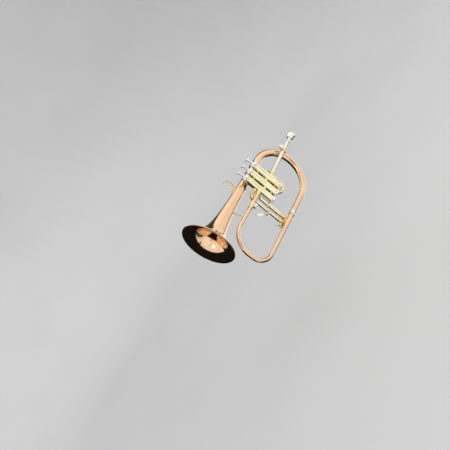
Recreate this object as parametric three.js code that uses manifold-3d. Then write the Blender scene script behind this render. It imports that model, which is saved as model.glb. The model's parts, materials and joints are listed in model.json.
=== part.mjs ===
// B flat flugelhorn with three piston valves and a trigger on the third slide, in millimetres.
// Playing position: +X points to the bell, +Y to the player's left, +Z up along the valves.
// The origin is on the middle valve's axis at half its height, where the left hand holds it.
import * as THREE from 'three';
import { mergeVertices } from 'three/addons/utils/BufferGeometryUtils.js';
import Module from 'manifold-3d';

const wasm = await Module();
wasm.setup();

// ---------- driving dimensions ----------
const GAP = 0.3;
const WALL = 0.5;
const TUBE_SIDES = 12;
const ROUND_SIDES = 20;
const BELL_SIDES = 24;
const RIGHT_ANGLE = Math.PI / 2;

const VALVE = { pitch: 26.5, casing: 10.2, ring: 10.9, bore: 8.7, cap: 11.4, half: 46, capHeight: 9 };
const STROKE = 13;
const BUTTON = { radius: 7, height: 4.2, stem: 2.6 };
const COLUMN = VALVE.casing + GAP;

const BELL = { y: -26, z: 37.5, tail: -30, rim: 250.7, rimRadius: 76.2, bead: 1.6 };
const LOOP = {
  exitZ: -5, start: 8, branchY: 2, branchZ: -119.7, front: 214.5, upperR: 57, lowerR: 43.5,
  rear: -138.5, rearLowerR: 91, rearUpperR: 67, exitEnd: 88, branchJoint: 19,
};
const TAPER = { small: 5.6, growth: 5.5, from: 290, power: 0.75 };

const LEG = { outer: 4.9, bore: 4.3, collar: 5.8, collarLength: 5, inner: 4, bow: 4.6 };
const FIRST = { y: -20, rearX: -55.8, frontX: -20.6, rearZ: 6, frontZ: -10, end: -40, top: -20.5, centre: -52 };
const SECOND = { x: 4, upperZ: -3, lowerZ: -23, end: -27, top: -14, centre: -33 };
const THIRD = { y: -11, frontX: 57.8, rearX: 40.6, frontZ: 8.5, rearZ: -17.5, end: -94, top: -66, centre: -110 };

const PIPE = { z: -12.3, rise: 2, outer: 5.9, bore: 5.4, end: 119.5, slideOuter: 5.05, slideBore: 4.6 };
const PIPE_ENDS = { slideStart: 90, receiver: 149, slideEnd: 162, shank: 143, rim: 181.5 };
const CLAMP = { start: 108.5, end: 118.5, outer: 7.6, screwAt: 115.5, screwZ: 15, head: 7 };

const TRIGGER = { pivotX: 70.5, pivotZ: -60, arm: 12.6, lift: 4.5, side: -3.6 };

// ---------- materials ----------
function metal(color, roughness) {
  return new THREE.MeshStandardMaterial({ color, roughness, metalness: 1 });
}

const roseBrass = metal(0xd99a6c, 0.16);
const yellowBrass = metal(0xd8b45c, 0.2);
const nickel = metal(0xdcd6c0, 0.18);
const silver = metal(0xe9e8e4, 0.14);
const steel = metal(0x9b9b9b, 0.35);

// ---------- solids from lathed and bent profiles ----------
function point(x, y) {
  return new THREE.Vector2(x, y);
}

// Keeps positions only, joins shared corners and drops the flat triangles at a lathe's poles.
function tidy(geometry) {
  geometry.deleteAttribute('normal');
  geometry.deleteAttribute('uv');
  const merged = mergeVertices(geometry, 1e-4);
  const index = merged.index.array;
  const kept = [];
  for (let i = 0; i < index.length; i += 3) {
    const [a, b, c] = [index[i], index[i + 1], index[i + 2]];
    if (a !== b && b !== c && c !== a) kept.push(a, b, c);
  }
  merged.setIndex(kept);
  return merged;
}

function toSolid(geometry) {
  const vertProperties = new Float32Array(geometry.attributes.position.array);
  const triVerts = new Uint32Array(geometry.index.array);
  return new wasm.Manifold(new wasm.Mesh({ numProp: 3, vertProperties, triVerts }));
}

function fromSolid(manifold) {
  const mesh = manifold.getMesh();
  const geometry = new THREE.BufferGeometry();
  geometry.setAttribute('position', new THREE.BufferAttribute(new Float32Array(mesh.vertProperties), 3));
  geometry.setIndex(Array.from(mesh.triVerts));
  return geometry;
}

function cut(geometry, ...tools) {
  const result = tools.reduce((body, tool) => body.subtract(toSolid(tool)), toSolid(geometry));
  return fromSolid(result);
}

function join(geometry, ...others) {
  const result = others.reduce((body, other) => body.add(toSolid(other)), toSolid(geometry));
  return fromSolid(result);
}

// A solid of revolution about +Z from [radius, z] pairs, listed upwards on the outside.
function turned(outline, sides = ROUND_SIDES) {
  const points = outline.map(([radius, height]) => point(radius, height));
  const first = points[0];
  const last = points[points.length - 1];
  const closed = first.x > 0 || last.x > 0;
  if (closed) points.push(first.clone());
  const geometry = new THREE.LatheGeometry(points, sides);
  geometry.rotateX(RIGHT_ANGLE);
  return tidy(geometry);
}

// A bar between two points.
function bar(from, to, radius, sides = 10) {
  const start = new THREE.Vector3(...from);
  const span = new THREE.Vector3(...to).sub(start);
  const geometry = new THREE.CylinderGeometry(radius, radius, span.length(), sides);
  geometry.translate(0, span.length() / 2, 0);
  const up = new THREE.Vector3(0, 1, 0);
  geometry.applyQuaternion(new THREE.Quaternion().setFromUnitVectors(up, span.clone().normalize()));
  geometry.translate(start.x, start.y, start.z);
  return tidy(geometry);
}

function ball(centre, radius) {
  const geometry = new THREE.SphereGeometry(radius, 10, 6);
  geometry.translate(...centre);
  return tidy(geometry);
}

function block(size, centre) {
  const geometry = new THREE.BoxGeometry(...size);
  geometry.translate(...centre);
  return tidy(geometry);
}

// A plane in space that a pipe's centre line is drawn on.
function plane(origin, along, up) {
  const u = new THREE.Vector3(...along).normalize();
  const v = new THREE.Vector3(...up).normalize();
  return { origin: new THREE.Vector3(...origin), u, v, side: new THREE.Vector3().crossVectors(v, u) };
}

// Distances along a path where a ring of corners is needed: both ends, and every step of an arc.
function ringPlaces(path, arcStep) {
  const places = [0];
  let travelled = 0;
  for (const curve of path.curves) {
    const length = curve.getLength();
    const steps = curve.isEllipseCurve ? Math.ceil(length / arcStep) : 1;
    for (let i = 1; i <= steps; i += 1) places.push(travelled + length * i / steps);
    travelled += length;
  }
  return places;
}

// Adds the ring places to an outline of [distance, radius] pairs.
function refine(outline, places) {
  const result = [outline[0]];
  for (let i = 1; i < outline.length; i += 1) {
    const [s0, r0] = outline[i - 1];
    const [s1, r1] = outline[i];
    for (const s of places) {
      if (s > s0 + 0.2 && s < s1 - 0.2) result.push([s, r0 + (r1 - r0) * (s - s0) / (s1 - s0)]);
    }
    result.push(outline[i]);
  }
  return result;
}

// A hollow pipe: its wall is lathed straight and then bent along the path.
function pipe(path, on, outerOutline, innerOutline, arcStep = 14, sides = TUBE_SIDES) {
  const places = ringPlaces(path, arcStep);
  const length = path.getLength();
  const outer = refine(outerOutline, places);
  const inner = refine(innerOutline, places).reverse();
  const points = [...outer, ...inner, outer[0]].map(([s, radius]) => point(radius, s));
  const geometry = new THREE.LatheGeometry(points, sides);
  const position = geometry.attributes.position;
  for (let i = 0; i < position.count; i += 1) {
    const share = THREE.MathUtils.clamp(position.getY(i) / length, 0, 1);
    const centre = path.getPoint(share);
    const heading = path.getTangent(share);
    const [offset, depth] = [position.getX(i), position.getZ(i)];
    const place = on.origin.clone();
    place.addScaledVector(on.u, centre.x - heading.y * offset);
    place.addScaledVector(on.v, centre.y + heading.x * offset);
    place.addScaledVector(on.side, depth);
    position.setXYZ(i, place.x, place.y, place.z);
  }
  return tidy(geometry);
}

// A straight or bent pipe of one size, with an optional collar at its far end.
function plainPipe(path, on, outer, bore, collar = outer, collarLength = 0) {
  const length = path.getLength();
  const outline = [[0, outer], [length, outer]];
  if (collarLength > 0) {
    const edge = length - collarLength;
    outline.splice(1, 1, [edge, outer], [edge, collar], [length, collar]);
  }
  return pipe(path, on, outline, [[0, bore], [length, bore]]);
}

function straight(from, to, level = 0) {
  return new THREE.Path().moveTo(from, level).lineTo(to, level);
}

// ---------- the conical main tube ----------
const drop = new THREE.Vector3(0, -LOOP.branchY, LOOP.exitZ - LOOP.branchZ);
const rise = new THREE.Vector3(0, BELL.y - LOOP.branchY, BELL.z - LOOP.branchZ);
const frontPlane = plane([0, 0, LOOP.exitZ], [1, 0, 0], drop.toArray());
const rearPlane = plane([0, LOOP.branchY, LOOP.branchZ], [1, 0, 0], rise.toArray());

function frontPath() {
  const height = drop.length();
  const path = new THREE.Path().moveTo(LOOP.exitEnd + GAP, 0);
  path.lineTo(LOOP.front - LOOP.upperR, 0);
  path.absarc(LOOP.front - LOOP.upperR, -LOOP.upperR, LOOP.upperR, RIGHT_ANGLE, 0, true);
  path.lineTo(LOOP.front, LOOP.lowerR - height);
  path.absarc(LOOP.front - LOOP.lowerR, LOOP.lowerR - height, LOOP.lowerR, 0, -RIGHT_ANGLE, true);
  path.lineTo(LOOP.branchJoint, -height);
  return path;
}

function rearPath() {
  const height = rise.length();
  const path = new THREE.Path().moveTo(LOOP.branchJoint - GAP, 0);
  path.lineTo(LOOP.rear + LOOP.rearLowerR, 0);
  path.absarc(LOOP.rear + LOOP.rearLowerR, LOOP.rearLowerR, LOOP.rearLowerR, -RIGHT_ANGLE, -Math.PI, true);
  path.lineTo(LOOP.rear, height - LOOP.rearUpperR);
  path.absarc(LOOP.rear + LOOP.rearUpperR, height - LOOP.rearUpperR, LOOP.rearUpperR, Math.PI,
    RIGHT_ANGLE, true);
  path.lineTo(BELL.tail, height);
  return path;
}

const exitLength = LOOP.exitEnd - LOOP.start - VALVE.pitch;
const frontLength = frontPath().getLength();
const mainLength = exitLength + frontLength + rearPath().getLength();

function mainRadius(distance) {
  const share = Math.max(0, distance - TAPER.from) / (mainLength - TAPER.from);
  return TAPER.small + TAPER.growth * share ** TAPER.power;
}

// One stretch of the main tube, from a distance along it.
function mainTube(path, on, from, arcStep) {
  const length = path.getLength();
  const places = [...ringPlaces(path, arcStep)];
  const outer = places.map((s) => [s, mainRadius(from + s)]);
  const inner = outer.map(([s, radius]) => [s, radius - WALL]);
  outer[outer.length - 1][0] = length;
  return pipe(path, on, outer, inner, arcStep, TUBE_SIDES);
}

function exitTube() {
  const path = straight(VALVE.pitch + LOOP.start, LOOP.exitEnd);
  const foot = VALVE.casing - LOOP.start;
  const outer = [[0, 8], [foot + 1.5, 7.6], [foot + 8, mainRadius(0)], [exitLength, mainRadius(exitLength)]];
  const inner = [[0, TAPER.small - WALL], [exitLength, mainRadius(exitLength) - WALL]];
  return cut(pipe(path, frontPlane, outer, inner), valveColumn(VALVE.pitch));
}

function bellRadius(x) {
  return 6.5 + 1560 / (273.3 - x);
}

function bell() {
  const places = [BELL.tail + GAP, 20, 70, 110, 145, 172, 192, 208, 221, 231, 239, 245];
  const outer = places.map((x) => [bellRadius(x), x]);
  const inner = places.map((x) => [bellRadius(x) - WALL, x]).reverse();
  const edge = BELL.rim - BELL.bead;
  const rim = [
    [BELL.rimRadius - 2 * BELL.bead, edge - 1], [BELL.rimRadius, edge - BELL.bead],
    [BELL.rimRadius, BELL.rim], [BELL.rimRadius - BELL.bead, BELL.rim],
    [BELL.rimRadius - 2 * BELL.bead - WALL, edge],
  ];
  const geometry = turned([...outer, ...rim, ...inner], BELL_SIDES);
  geometry.rotateY(RIGHT_ANGLE);
  geometry.translate(0, BELL.y, BELL.z);
  return geometry;
}

const FERRULE_WALL = 1.2;

// A sleeve over a joint in the main tube, clear of the tube inside it.
function ferrule(on, level, from, to, radius) {
  const path = straight(from, to, level);
  const [low, high] = [radius + GAP + 0.1, radius + FERRULE_WALL];
  return pipe(path, on, [[0, high], [Math.abs(to - from), high]], [[0, low], [Math.abs(to - from), low]]);
}

// ---------- valves ----------
// The space a casing takes, for cutting the saddle ends of the pipes that meet it.
function valveColumn(x) {
  const geometry = turned([[0, -60], [COLUMN, -60], [COLUMN, 60], [0, 60]], BELL_SIDES);
  geometry.translate(x, 0, 0);
  return geometry;
}

function casing() {
  const { casing: body, ring, bore, half } = VALVE;
  const band = half - 5;
  return turned([
    [ring, -half], [ring, -band], [body, -band + 0.5], [body, band - 0.5], [ring, band], [ring, half],
    [bore, half], [bore, -half],
  ]);
}

function topCap() {
  const base = VALVE.half + GAP;
  const top = VALVE.half + VALVE.capHeight;
  const hole = BUTTON.stem + 0.5;
  return turned([
    [VALVE.cap, base], [VALVE.cap, top - 2], [VALVE.cap - 1.2, top - 0.7], [6.4, top - 0.6], [5.8, top], [hole, top],
    [hole, top - 2], [VALVE.bore, top - 3], [VALVE.bore, base],
  ]);
}

function bottomCap() {
  const base = -VALVE.half - GAP;
  const bottom = -VALVE.half - VALVE.capHeight;
  return turned([
    [1.2, bottom], [3.5, bottom], [4, bottom + 2], [10, bottom + 3.2], [VALVE.cap, bottom + 4.5],
    [VALVE.cap, base], [VALVE.bore, base], [VALVE.bore, bottom + 5], [1.2, bottom + 3.5],
  ]);
}

const PISTON = { radius: 8.3, bottom: -22, top: 40 };

function piston() {
  return turned([
    [6.5, PISTON.bottom], [PISTON.radius, PISTON.bottom], [PISTON.radius, PISTON.top], [0, PISTON.top],
    [0, PISTON.top - 3], [6.5, PISTON.top - 3],
  ], 16);
}

function valveSpring() {
  const [bottom, top] = [-VALVE.half - 4.2, PISTON.bottom - GAP];
  return turned([[4.6, bottom], [5.8, bottom], [5.8, top], [4.6, top]], 10);
}

function valveStem() {
  const [base, top] = [PISTON.top + GAP, VALVE.half + VALVE.capHeight + STROKE + 1];
  return turned([[0, base], [6, base], [6, base + 2], [BUTTON.stem, base + 2.5], [BUTTON.stem, top], [0, top]], 12);
}

function fingerButton() {
  const base = VALVE.half + VALVE.capHeight + STROKE + 1 + GAP;
  const { radius, height } = BUTTON;
  return turned([
    [0, base], [5, base], [radius, base + 1.4], [radius, base + height - 1], [radius - 1, base + height],
    [0, base + height - 0.5],
  ], 16);
}

// A short pipe or brace between two neighbouring casings.
function link(fromX, toX, z, radius, bore = 0) {
  const body = bar([fromX, 0, z], [toX, 0, z], radius, TUBE_SIDES);
  const tools = [valveColumn(fromX), valveColumn(toX)];
  if (bore > 0) tools.push(bar([fromX, 0, z], [toX, 0, z], bore, TUBE_SIDES));
  return cut(body, ...tools);
}

// ---------- slides ----------
// A fixed leg: out of a valve, through an elbow and down to a collar.
function fixedLeg(valveX, footX, footY, portZ, elbow, endZ, radius = LEG.outer) {
  const heading = new THREE.Vector2(footX - valveX, footY);
  const reach = heading.length();
  const path = new THREE.Path().moveTo(LOOP.start, portZ);
  path.lineTo(reach - elbow, portZ);
  path.absarc(reach - elbow, portZ - elbow, elbow, RIGHT_ANGLE, 0, true);
  path.lineTo(reach, endZ);
  const on = plane([valveX, 0, 0], [heading.x, heading.y, 0], [0, 0, 1]);
  return { path, on, radius };
}

function legSolid({ path, on, radius }, valveX) {
  const body = plainPipe(path, on, radius, LEG.bore, LEG.collar, LEG.collarLength);
  return cut(body, valveColumn(valveX));
}

// The rear leg of the third slide widens into a sleeve below a ferrule.
function sleevedLeg({ path, on, radius }, valveX) {
  const length = path.getLength();
  const sleeve = radius + 0.4;
  const collarEdge = length - LEG.collarLength;
  const sleeveTop = length - 47;
  const outline = [
    [0, radius], [sleeveTop, radius], [sleeveTop, sleeve + 0.5], [sleeveTop + 5, sleeve + 0.5],
    [sleeveTop + 5, sleeve], [collarEdge, sleeve], [collarEdge, sleeve + 0.6], [length, sleeve + 0.6],
  ];
  return cut(pipe(path, on, outline, [[0, LEG.bore], [length, LEG.bore]], 4), valveColumn(valveX));
}

// A U-shaped slide: thin legs inside the fixed legs, and a wider bow below their collars.
function slideBow(on, half, top, shoulder, centre) {
  const path = new THREE.Path().moveTo(-half, top).lineTo(-half, centre);
  path.absarc(0, centre, half, Math.PI, 2 * Math.PI, false);
  path.lineTo(half, top);
  const length = path.getLength();
  const hidden = top - shoulder;
  const outer = [
    [0, LEG.inner], [hidden, LEG.inner], [hidden, LEG.bow], [length - hidden, LEG.bow],
    [length - hidden, LEG.inner], [length, LEG.inner],
  ];
  const bore = LEG.inner - WALL;
  return pipe(path, on, outer, [[0, bore], [length, bore]], Math.max(half / 2.2, 4));
}

// ---------- mouthpipe and mouthpiece ----------
const lift = THREE.MathUtils.degToRad(PIPE.rise);
const pipePlane = plane([-VALVE.pitch, 0, PIPE.z], [-Math.cos(lift), 0, Math.sin(lift)],
  [Math.sin(lift), 0, Math.cos(lift)]);

// Places a solid drawn about +Z onto the mouthpipe's axis, with +Z running towards the player.
function onPipe(geometry) {
  const { origin, u, v } = pipePlane;
  const across = new THREE.Vector3().crossVectors(v, u);
  const turn = new THREE.Matrix4().makeBasis(across, v, u).setPosition(origin);
  if (turn.determinant() < 0) turn.makeBasis(across.negate(), v, u).setPosition(origin);
  return geometry.applyMatrix4(turn);
}

function mouthpipe() {
  const body = plainPipe(straight(LOOP.start, PIPE.end), pipePlane, PIPE.outer, PIPE.bore);
  return cut(body, valveColumn(-VALVE.pitch));
}

function tuningPipe() {
  const { slideStart, receiver, slideEnd } = PIPE_ENDS;
  const path = straight(slideStart, slideEnd);
  const [step, length] = [receiver - slideStart, slideEnd - slideStart];
  const outer = [[0, PIPE.slideOuter], [step, PIPE.slideOuter], [step + 2, 6.4], [length, 6.4]];
  const inner = [[0, PIPE.slideBore], [length, PIPE.slideBore]];
  return pipe(path, pipePlane, outer, inner);
}

function mouthpiece() {
  const { shank, slideEnd, rim } = PIPE_ENDS;
  return onPipe(turned([
    [3.2, shank], [3.9, shank], [4.2, slideEnd], [4.6, slideEnd + 2.5], [5.4, slideEnd + 3.5],
    [7.4, rim - 15.5], [9.2, rim - 13.6], [10.7, rim - 11.5], [11.7, rim - 8], [12.2, rim - 5],
    [13.2, rim - 3.5], [13.2, rim - 1], [12.6, rim], [9.6, rim], [8.5, rim - 1.2], [7.8, rim - 8],
    [5.4, rim - 14.5], [2.4, rim - 19.5], [2.1, rim - 24],
  ]));
}

// A split ring with two ears on top for its screw and a small lug below.
function clampCollar() {
  const { start, end, outer, screwAt, screwZ } = CLAMP;
  const ring = plainPipe(straight(start, end), pipePlane, outer, PIPE.outer + GAP);
  const ears = onPipe(block([6.8, 11.2, 5.4], [0, screwZ - 3, screwAt]));
  const lug = onPipe(bar([0, -outer + 1, screwAt], [0, -outer - 2.6, screwAt], 2.4, 10));
  const slit = onPipe(block([1.6, 15, 2 * (end - start)], [0, screwZ - 3, screwAt]));
  const hole = onPipe(bar([-9, screwZ, screwAt], [9, screwZ, screwAt], 1.9, 10));
  const bore = onPipe(turned([[0, start - 1], [PIPE.outer + GAP, start - 1],
    [PIPE.outer + GAP, end + 1], [0, end + 1]], TUBE_SIDES));
  return cut(join(ring, ears, lug), slit, hole, bore);
}

// The clamp's screw, with a thumb disc on the player's left.
function clampScrew() {
  const { screwAt, screwZ, head } = CLAMP;
  const shaft = onPipe(bar([5, screwZ, screwAt], [-7, screwZ, screwAt], 1.4, 10));
  const neck = onPipe(bar([-3.8, screwZ, screwAt], [-7, screwZ, screwAt], 2.4, 10));
  const tip = onPipe(bar([3.8, screwZ, screwAt], [5.2, screwZ, screwAt], 2.4, 10));
  const disc = onPipe(bar([-6.6, screwZ, screwAt], [-8.8, screwZ, screwAt], head, 16));
  return join(shaft, neck, tip, disc);
}

// ---------- third slide trigger and water key ----------
const leverTip = [
  TRIGGER.pivotX - Math.sqrt(TRIGGER.arm ** 2 - TRIGGER.lift ** 2), TRIGGER.side,
  TRIGGER.pivotZ + TRIGGER.lift,
];

function frontSleeveSpace(radius) {
  return bar([THIRD.frontX, THIRD.y, THIRD.end - 30], [THIRD.frontX, THIRD.y, 0], radius, 24);
}

function triggerBracket() {
  const { pivotX, pivotZ } = TRIGGER;
  const post = bar([THIRD.frontX + 5, THIRD.y - 1.5, -41], [pivotX, THIRD.y - 1.5, pivotZ], 0.9, 8);
  const pad = bar([THIRD.frontX + 2, THIRD.y - 1.5, -41], [THIRD.frontX + 6.2, THIRD.y - 1.5, -41.6], 1.8, 8);
  const eye = bar([pivotX, THIRD.y - 2.4, pivotZ], [pivotX, THIRD.y, pivotZ], 2, TUBE_SIDES);
  const pin = bar([pivotX, THIRD.y - 1, pivotZ], [pivotX, TRIGGER.side + 2.2, pivotZ], 1, 8);
  const screwHead = bar([pivotX, TRIGGER.side + 1.4, pivotZ], [pivotX, TRIGGER.side + 2.4, pivotZ], 1.9, 10);
  return cut(join(post, pad, eye, pin, screwHead), frontSleeveSpace(LEG.outer + GAP));
}

// A curved finger pad on a stalk, with an arm that pushes down on the rod.
function triggerLever() {
  const { pivotX, pivotZ, side } = TRIGGER;
  const hub = bar([pivotX, THIRD.y + GAP, pivotZ], [pivotX, side + 1, pivotZ], 2.2, TUBE_SIDES);
  const arm = bar([pivotX, side, pivotZ], leverTip, 1.1, 8);
  const tip = bar([leverTip[0], side - 1, leverTip[2]], [leverTip[0], side + 1, leverTip[2]], 1.6, TUBE_SIDES);
  const stalk = bar([pivotX, THIRD.y + 3, pivotZ], [pivotX + 11.1, THIRD.y + 2, pivotZ + 12.7], 1.6, 8);
  const hole = bar([pivotX, THIRD.y - 2, pivotZ], [pivotX, side + 4, pivotZ], 1.35, TUBE_SIDES);
  return cut(join(hub, arm, tip, stalk, triggerPad()), hole);
}

// The pad is an oval plate with its ends bent forward, facing the player's left hand.
function triggerPad() {
  const [halfLength, halfWidth, thickness, bend] = [11, 4.6, 1.6, 1.2];
  const outline = new THREE.Shape();
  outline.absellipse(0, 0, halfLength, halfWidth, 0, 2 * Math.PI, false);
  const geometry = new THREE.ExtrudeGeometry(outline, { depth: thickness, bevelEnabled: false, curveSegments: 10 });
  const position = geometry.attributes.position;
  for (let i = 0; i < position.count; i += 1) {
    const share = position.getX(i) / halfLength;
    position.setZ(i, position.getZ(i) - thickness + bend * share ** 2);
  }
  const along = new THREE.Vector3(0.508, -0.334, 0.795).normalize();
  const front = new THREE.Vector3(0.548, 0.836, 0).normalize();
  const across = new THREE.Vector3().crossVectors(front, along).normalize();
  front.crossVectors(along, across);
  const centre = new THREE.Vector3(TRIGGER.pivotX + 15.5, THIRD.y + 1.5, TRIGGER.pivotZ + 18);
  geometry.applyMatrix4(new THREE.Matrix4().makeBasis(along, across, front).setPosition(centre));
  return tidy(geometry);
}

// The rod passes in front of the front leg's collar, then in between the legs to the bow.
function triggerRod() {
  const top = leverTip[2] - 1.6 - GAP - 0.1;
  const head = [leverTip[0] - 0.5, TRIGGER.side, top];
  const bend = [53.4, TRIGGER.side - 0.9, -90];
  const foot = [50, TRIGGER.side - 4.8, -110];
  const seat = [49.4, THIRD.y + 1.5, -115.5];
  const button = bar([head[0], head[1], top - 1.2], head, 1.9, 10);
  const parts = [bar(bend, foot, 1.1, 8), ball(bend, 1.1), ball(foot, 1.4), bar(foot, seat, 1.7, 8)];
  return cut(join(bar(head, bend, 1.1, 8), button, ...parts), thirdBowSpace());
}

// The space the third slide's bow takes, with a gap round it.
function thirdBowSpace() {
  const { y, frontX, rearX, centre, end } = THIRD;
  const half = (frontX - rearX) / 2;
  const path = new THREE.Path().moveTo(-half, end).lineTo(-half, centre);
  path.absarc(0, centre, half, Math.PI, 2 * Math.PI, false);
  path.lineTo(half, end);
  const on = plane([(rearX + frontX) / 2, y, 0], [1, 0, 0], [0, 0, 1]);
  const length = path.getLength();
  const radius = LEG.bow + GAP;
  return pipe(path, on, [[0, radius], [length, radius]], [[0, 0.5], [length, 0.5]], 4);
}

const KEY = { pivotX: 71.5, z: -107, face: 69, seatZ: -117.5 };

// A block on the slide's front leg, with the drain at its foot and an ear for the key's pin.
function waterKeySaddle() {
  const { pivotX, z, face } = KEY;
  const body = block([face - THIRD.frontX, 4, 13], [(face + THIRD.frontX) / 2, THIRD.y, z - 5]);
  const arm = block([pivotX - face + 1, 3, 3.4], [(pivotX + face - 1) / 2, THIRD.y, z]);
  const ear = bar([pivotX, THIRD.y - 1.5, z], [pivotX, THIRD.y + 1.5, z], 1.9, 10);
  const pin = bar([pivotX, THIRD.y - 4, z], [pivotX, THIRD.y + 4, z], 0.8, 8);
  return cut(join(body, arm, ear, pin), frontSleeveSpace(LEG.bow + GAP));
}

function waterKeyLever() {
  const { pivotX } = KEY;
  const cheeks = [-3, 3].map((side) => bar([pivotX, THIRD.y + side - 0.7, KEY.z],
    [pivotX, THIRD.y + side + 0.7, KEY.z], 2, 10));
  const bridge = bar([pivotX + 3.2, THIRD.y - 3.6, KEY.z + 2], [pivotX + 3.2, THIRD.y + 3.6, KEY.z + 2], 1.2, 8);
  const webs = [-3, 3].map((side) => bar([pivotX + 1, THIRD.y + side, KEY.z + 0.6],
    [pivotX + 3.2, THIRD.y + side, KEY.z + 2], 0.7, 6));
  const handle = bar([pivotX + 3.2, THIRD.y, KEY.z + 2], [pivotX + 8, THIRD.y, KEY.z + 13], 1.1, 8);
  const shank = bar([pivotX + 3.2, THIRD.y, KEY.z + 2], [pivotX + 2.2, THIRD.y, KEY.seatZ + 2], 1, 8);
  const seatFace = KEY.face + GAP + 0.1;
  const seat = bar([seatFace, THIRD.y, KEY.seatZ + 1.9], [pivotX + 3.4, THIRD.y, KEY.seatZ + 2], 2.2, 10);
  const hole = bar([pivotX, THIRD.y - 6, KEY.z], [pivotX, THIRD.y + 6, KEY.z], 1.1, 10);
  return cut(join(cheeks[0], cheeks[1], bridge, ...webs, handle, shank, seat), hole);
}

// ---------- braces, hook and lyre holder ----------
const HOOK_RAIL = { from: 59, to: 76, z: 58.8 };

// A bent wire for the little finger, on a foot with a rail that stands on three posts.
function fingerHook() {
  const base = BELL.z + bellRadius(68) + 0.6;
  const wire = new THREE.CatmullRomCurve3([
    new THREE.Vector3(64, BELL.y, base), new THREE.Vector3(56, BELL.y, base + 6),
    new THREE.Vector3(51.5, BELL.y, base + 16), new THREE.Vector3(53, BELL.y, base + 26),
    new THREE.Vector3(60, BELL.y, base + 33), new THREE.Vector3(69, BELL.y, base + 35),
  ]);
  const section = new THREE.Shape();
  section.absarc(0, 0, 1.9, 0, 2 * Math.PI, false);
  const hook = tidy(new THREE.ExtrudeGeometry(section, { steps: 14, extrudePath: wire, curveSegments: 5 }));
  const foot = block([20, 7, 2.6], [68, BELL.y, base]);
  const rail = bar([HOOK_RAIL.from, BELL.y, HOOK_RAIL.z], [HOOK_RAIL.to, BELL.y, HOOK_RAIL.z], 1.3, 8);
  const middle = (HOOK_RAIL.from + HOOK_RAIL.to) / 2;
  const posts = [HOOK_RAIL.from + 1.5, middle, HOOK_RAIL.to - 1.5]
    .map((x) => bar([x, BELL.y, base], [x, BELL.y, HOOK_RAIL.z], 1, 8));
  const tube = turned([[0, 30], [bellRadius(30) + GAP, 30], [bellRadius(110) + GAP, 110], [0, 110]], BELL_SIDES);
  tube.rotateY(RIGHT_ANGLE);
  tube.translate(0, BELL.y, BELL.z);
  return cut(join(hook, foot, rail, ...posts), tube);
}

function bellBrace() {
  const [top, bottom] = [[126, -22, 27], [128.5, -1, -3]];
  const post = bar(top, bottom, 2, 8);
  const upperFoot = bar([126.4, -19.5, 22.5], [126.8, -17.2, 19], 3.4, 10);
  const lowerFoot = bar([127.6, -6.2, 4.4], [128, -3.2, 0.2], 3.2, 10);
  const tube = turned([[0, 90], [bellRadius(90) + GAP, 90], [bellRadius(126) + GAP, 126],
    [bellRadius(150) + GAP, 150], [0, 150]], BELL_SIDES);
  tube.rotateY(RIGHT_ANGLE);
  tube.translate(0, BELL.y, BELL.z);
  const branch = bar([LOOP.exitEnd, 0, LOOP.exitZ], [160, 0, LOOP.exitZ], mainRadius(130) + GAP, 24);
  return cut(join(post, upperFoot, lowerFoot), tube, branch);
}

function mouthpipeBrace() {
  const post = bar([-134, -14.3, -11.7], [-120, -3, -9.5], 1.8, 8);
  const bow = pipe(rearPath(), rearPlane, [[0, 11], [rearPath().getLength(), 11]],
    [[0, 0.5], [rearPath().getLength(), 0.5]]);
  const pipeSpace = onPipe(turned([[0, 20], [PIPE.outer + GAP, 20], [PIPE.outer + GAP, 120], [0, 120]], 24));
  return cut(post, bow, pipeSpace);
}

const LYRE = { x: 80, z: -14 };

function lyreSocket() {
  const body = block([13, 8, 9], [LYRE.x, 0, LYRE.z]);
  const slot = block([15, 4, 4], [LYRE.x, 0, LYRE.z - 1.2]);
  const hole = bar([LYRE.x, 0, LYRE.z - 1.2], [LYRE.x, 9, LYRE.z - 1.2], 1.5, 10);
  const tube = bar([60, 0, LOOP.exitZ], [100, 0, LOOP.exitZ], mainRadius(60) + FERRULE_WALL + GAP, 24);
  return cut(body, slot, hole, tube);
}

function lyreScrew() {
  const z = LYRE.z - 1.2;
  const shaft = bar([LYRE.x, 1.2, z], [LYRE.x, 6, z], 1.1, 8);
  const head = bar([LYRE.x, 4.5, z], [LYRE.x, 9.5, z], 3.4, TUBE_SIDES);
  return join(shaft, head);
}

// ---------- assembly ----------
const flugelhorn = new THREE.Group();

function add(name, geometry, material, x = 0) {
  const mesh = new THREE.Mesh(geometry, material);
  mesh.name = name;
  mesh.position.x = x;
  flugelhorn.add(mesh);
}

function addMainTube() {
  const height = drop.length();
  add('bell', bell(), roseBrass);
  add('rear_bow', mainTube(rearPath(), rearPlane, exitLength + frontLength, 17), roseBrass);
  add('front_bow', mainTube(frontPath(), frontPlane, exitLength, 15), roseBrass);
  add('exit_tube', exitTube(), roseBrass);
  add('exit_ferrule', ferrule(frontPlane, 0, 76, 97, mainRadius(70)), yellowBrass);
  add('branch_ferrule', ferrule(frontPlane, -height, 27, 12, mainRadius(460)), nickel);
  add('bell_ferrule', ferrule(rearPlane, rise.length(), -37, -24, bellRadius(-24)), nickel);
}

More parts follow.
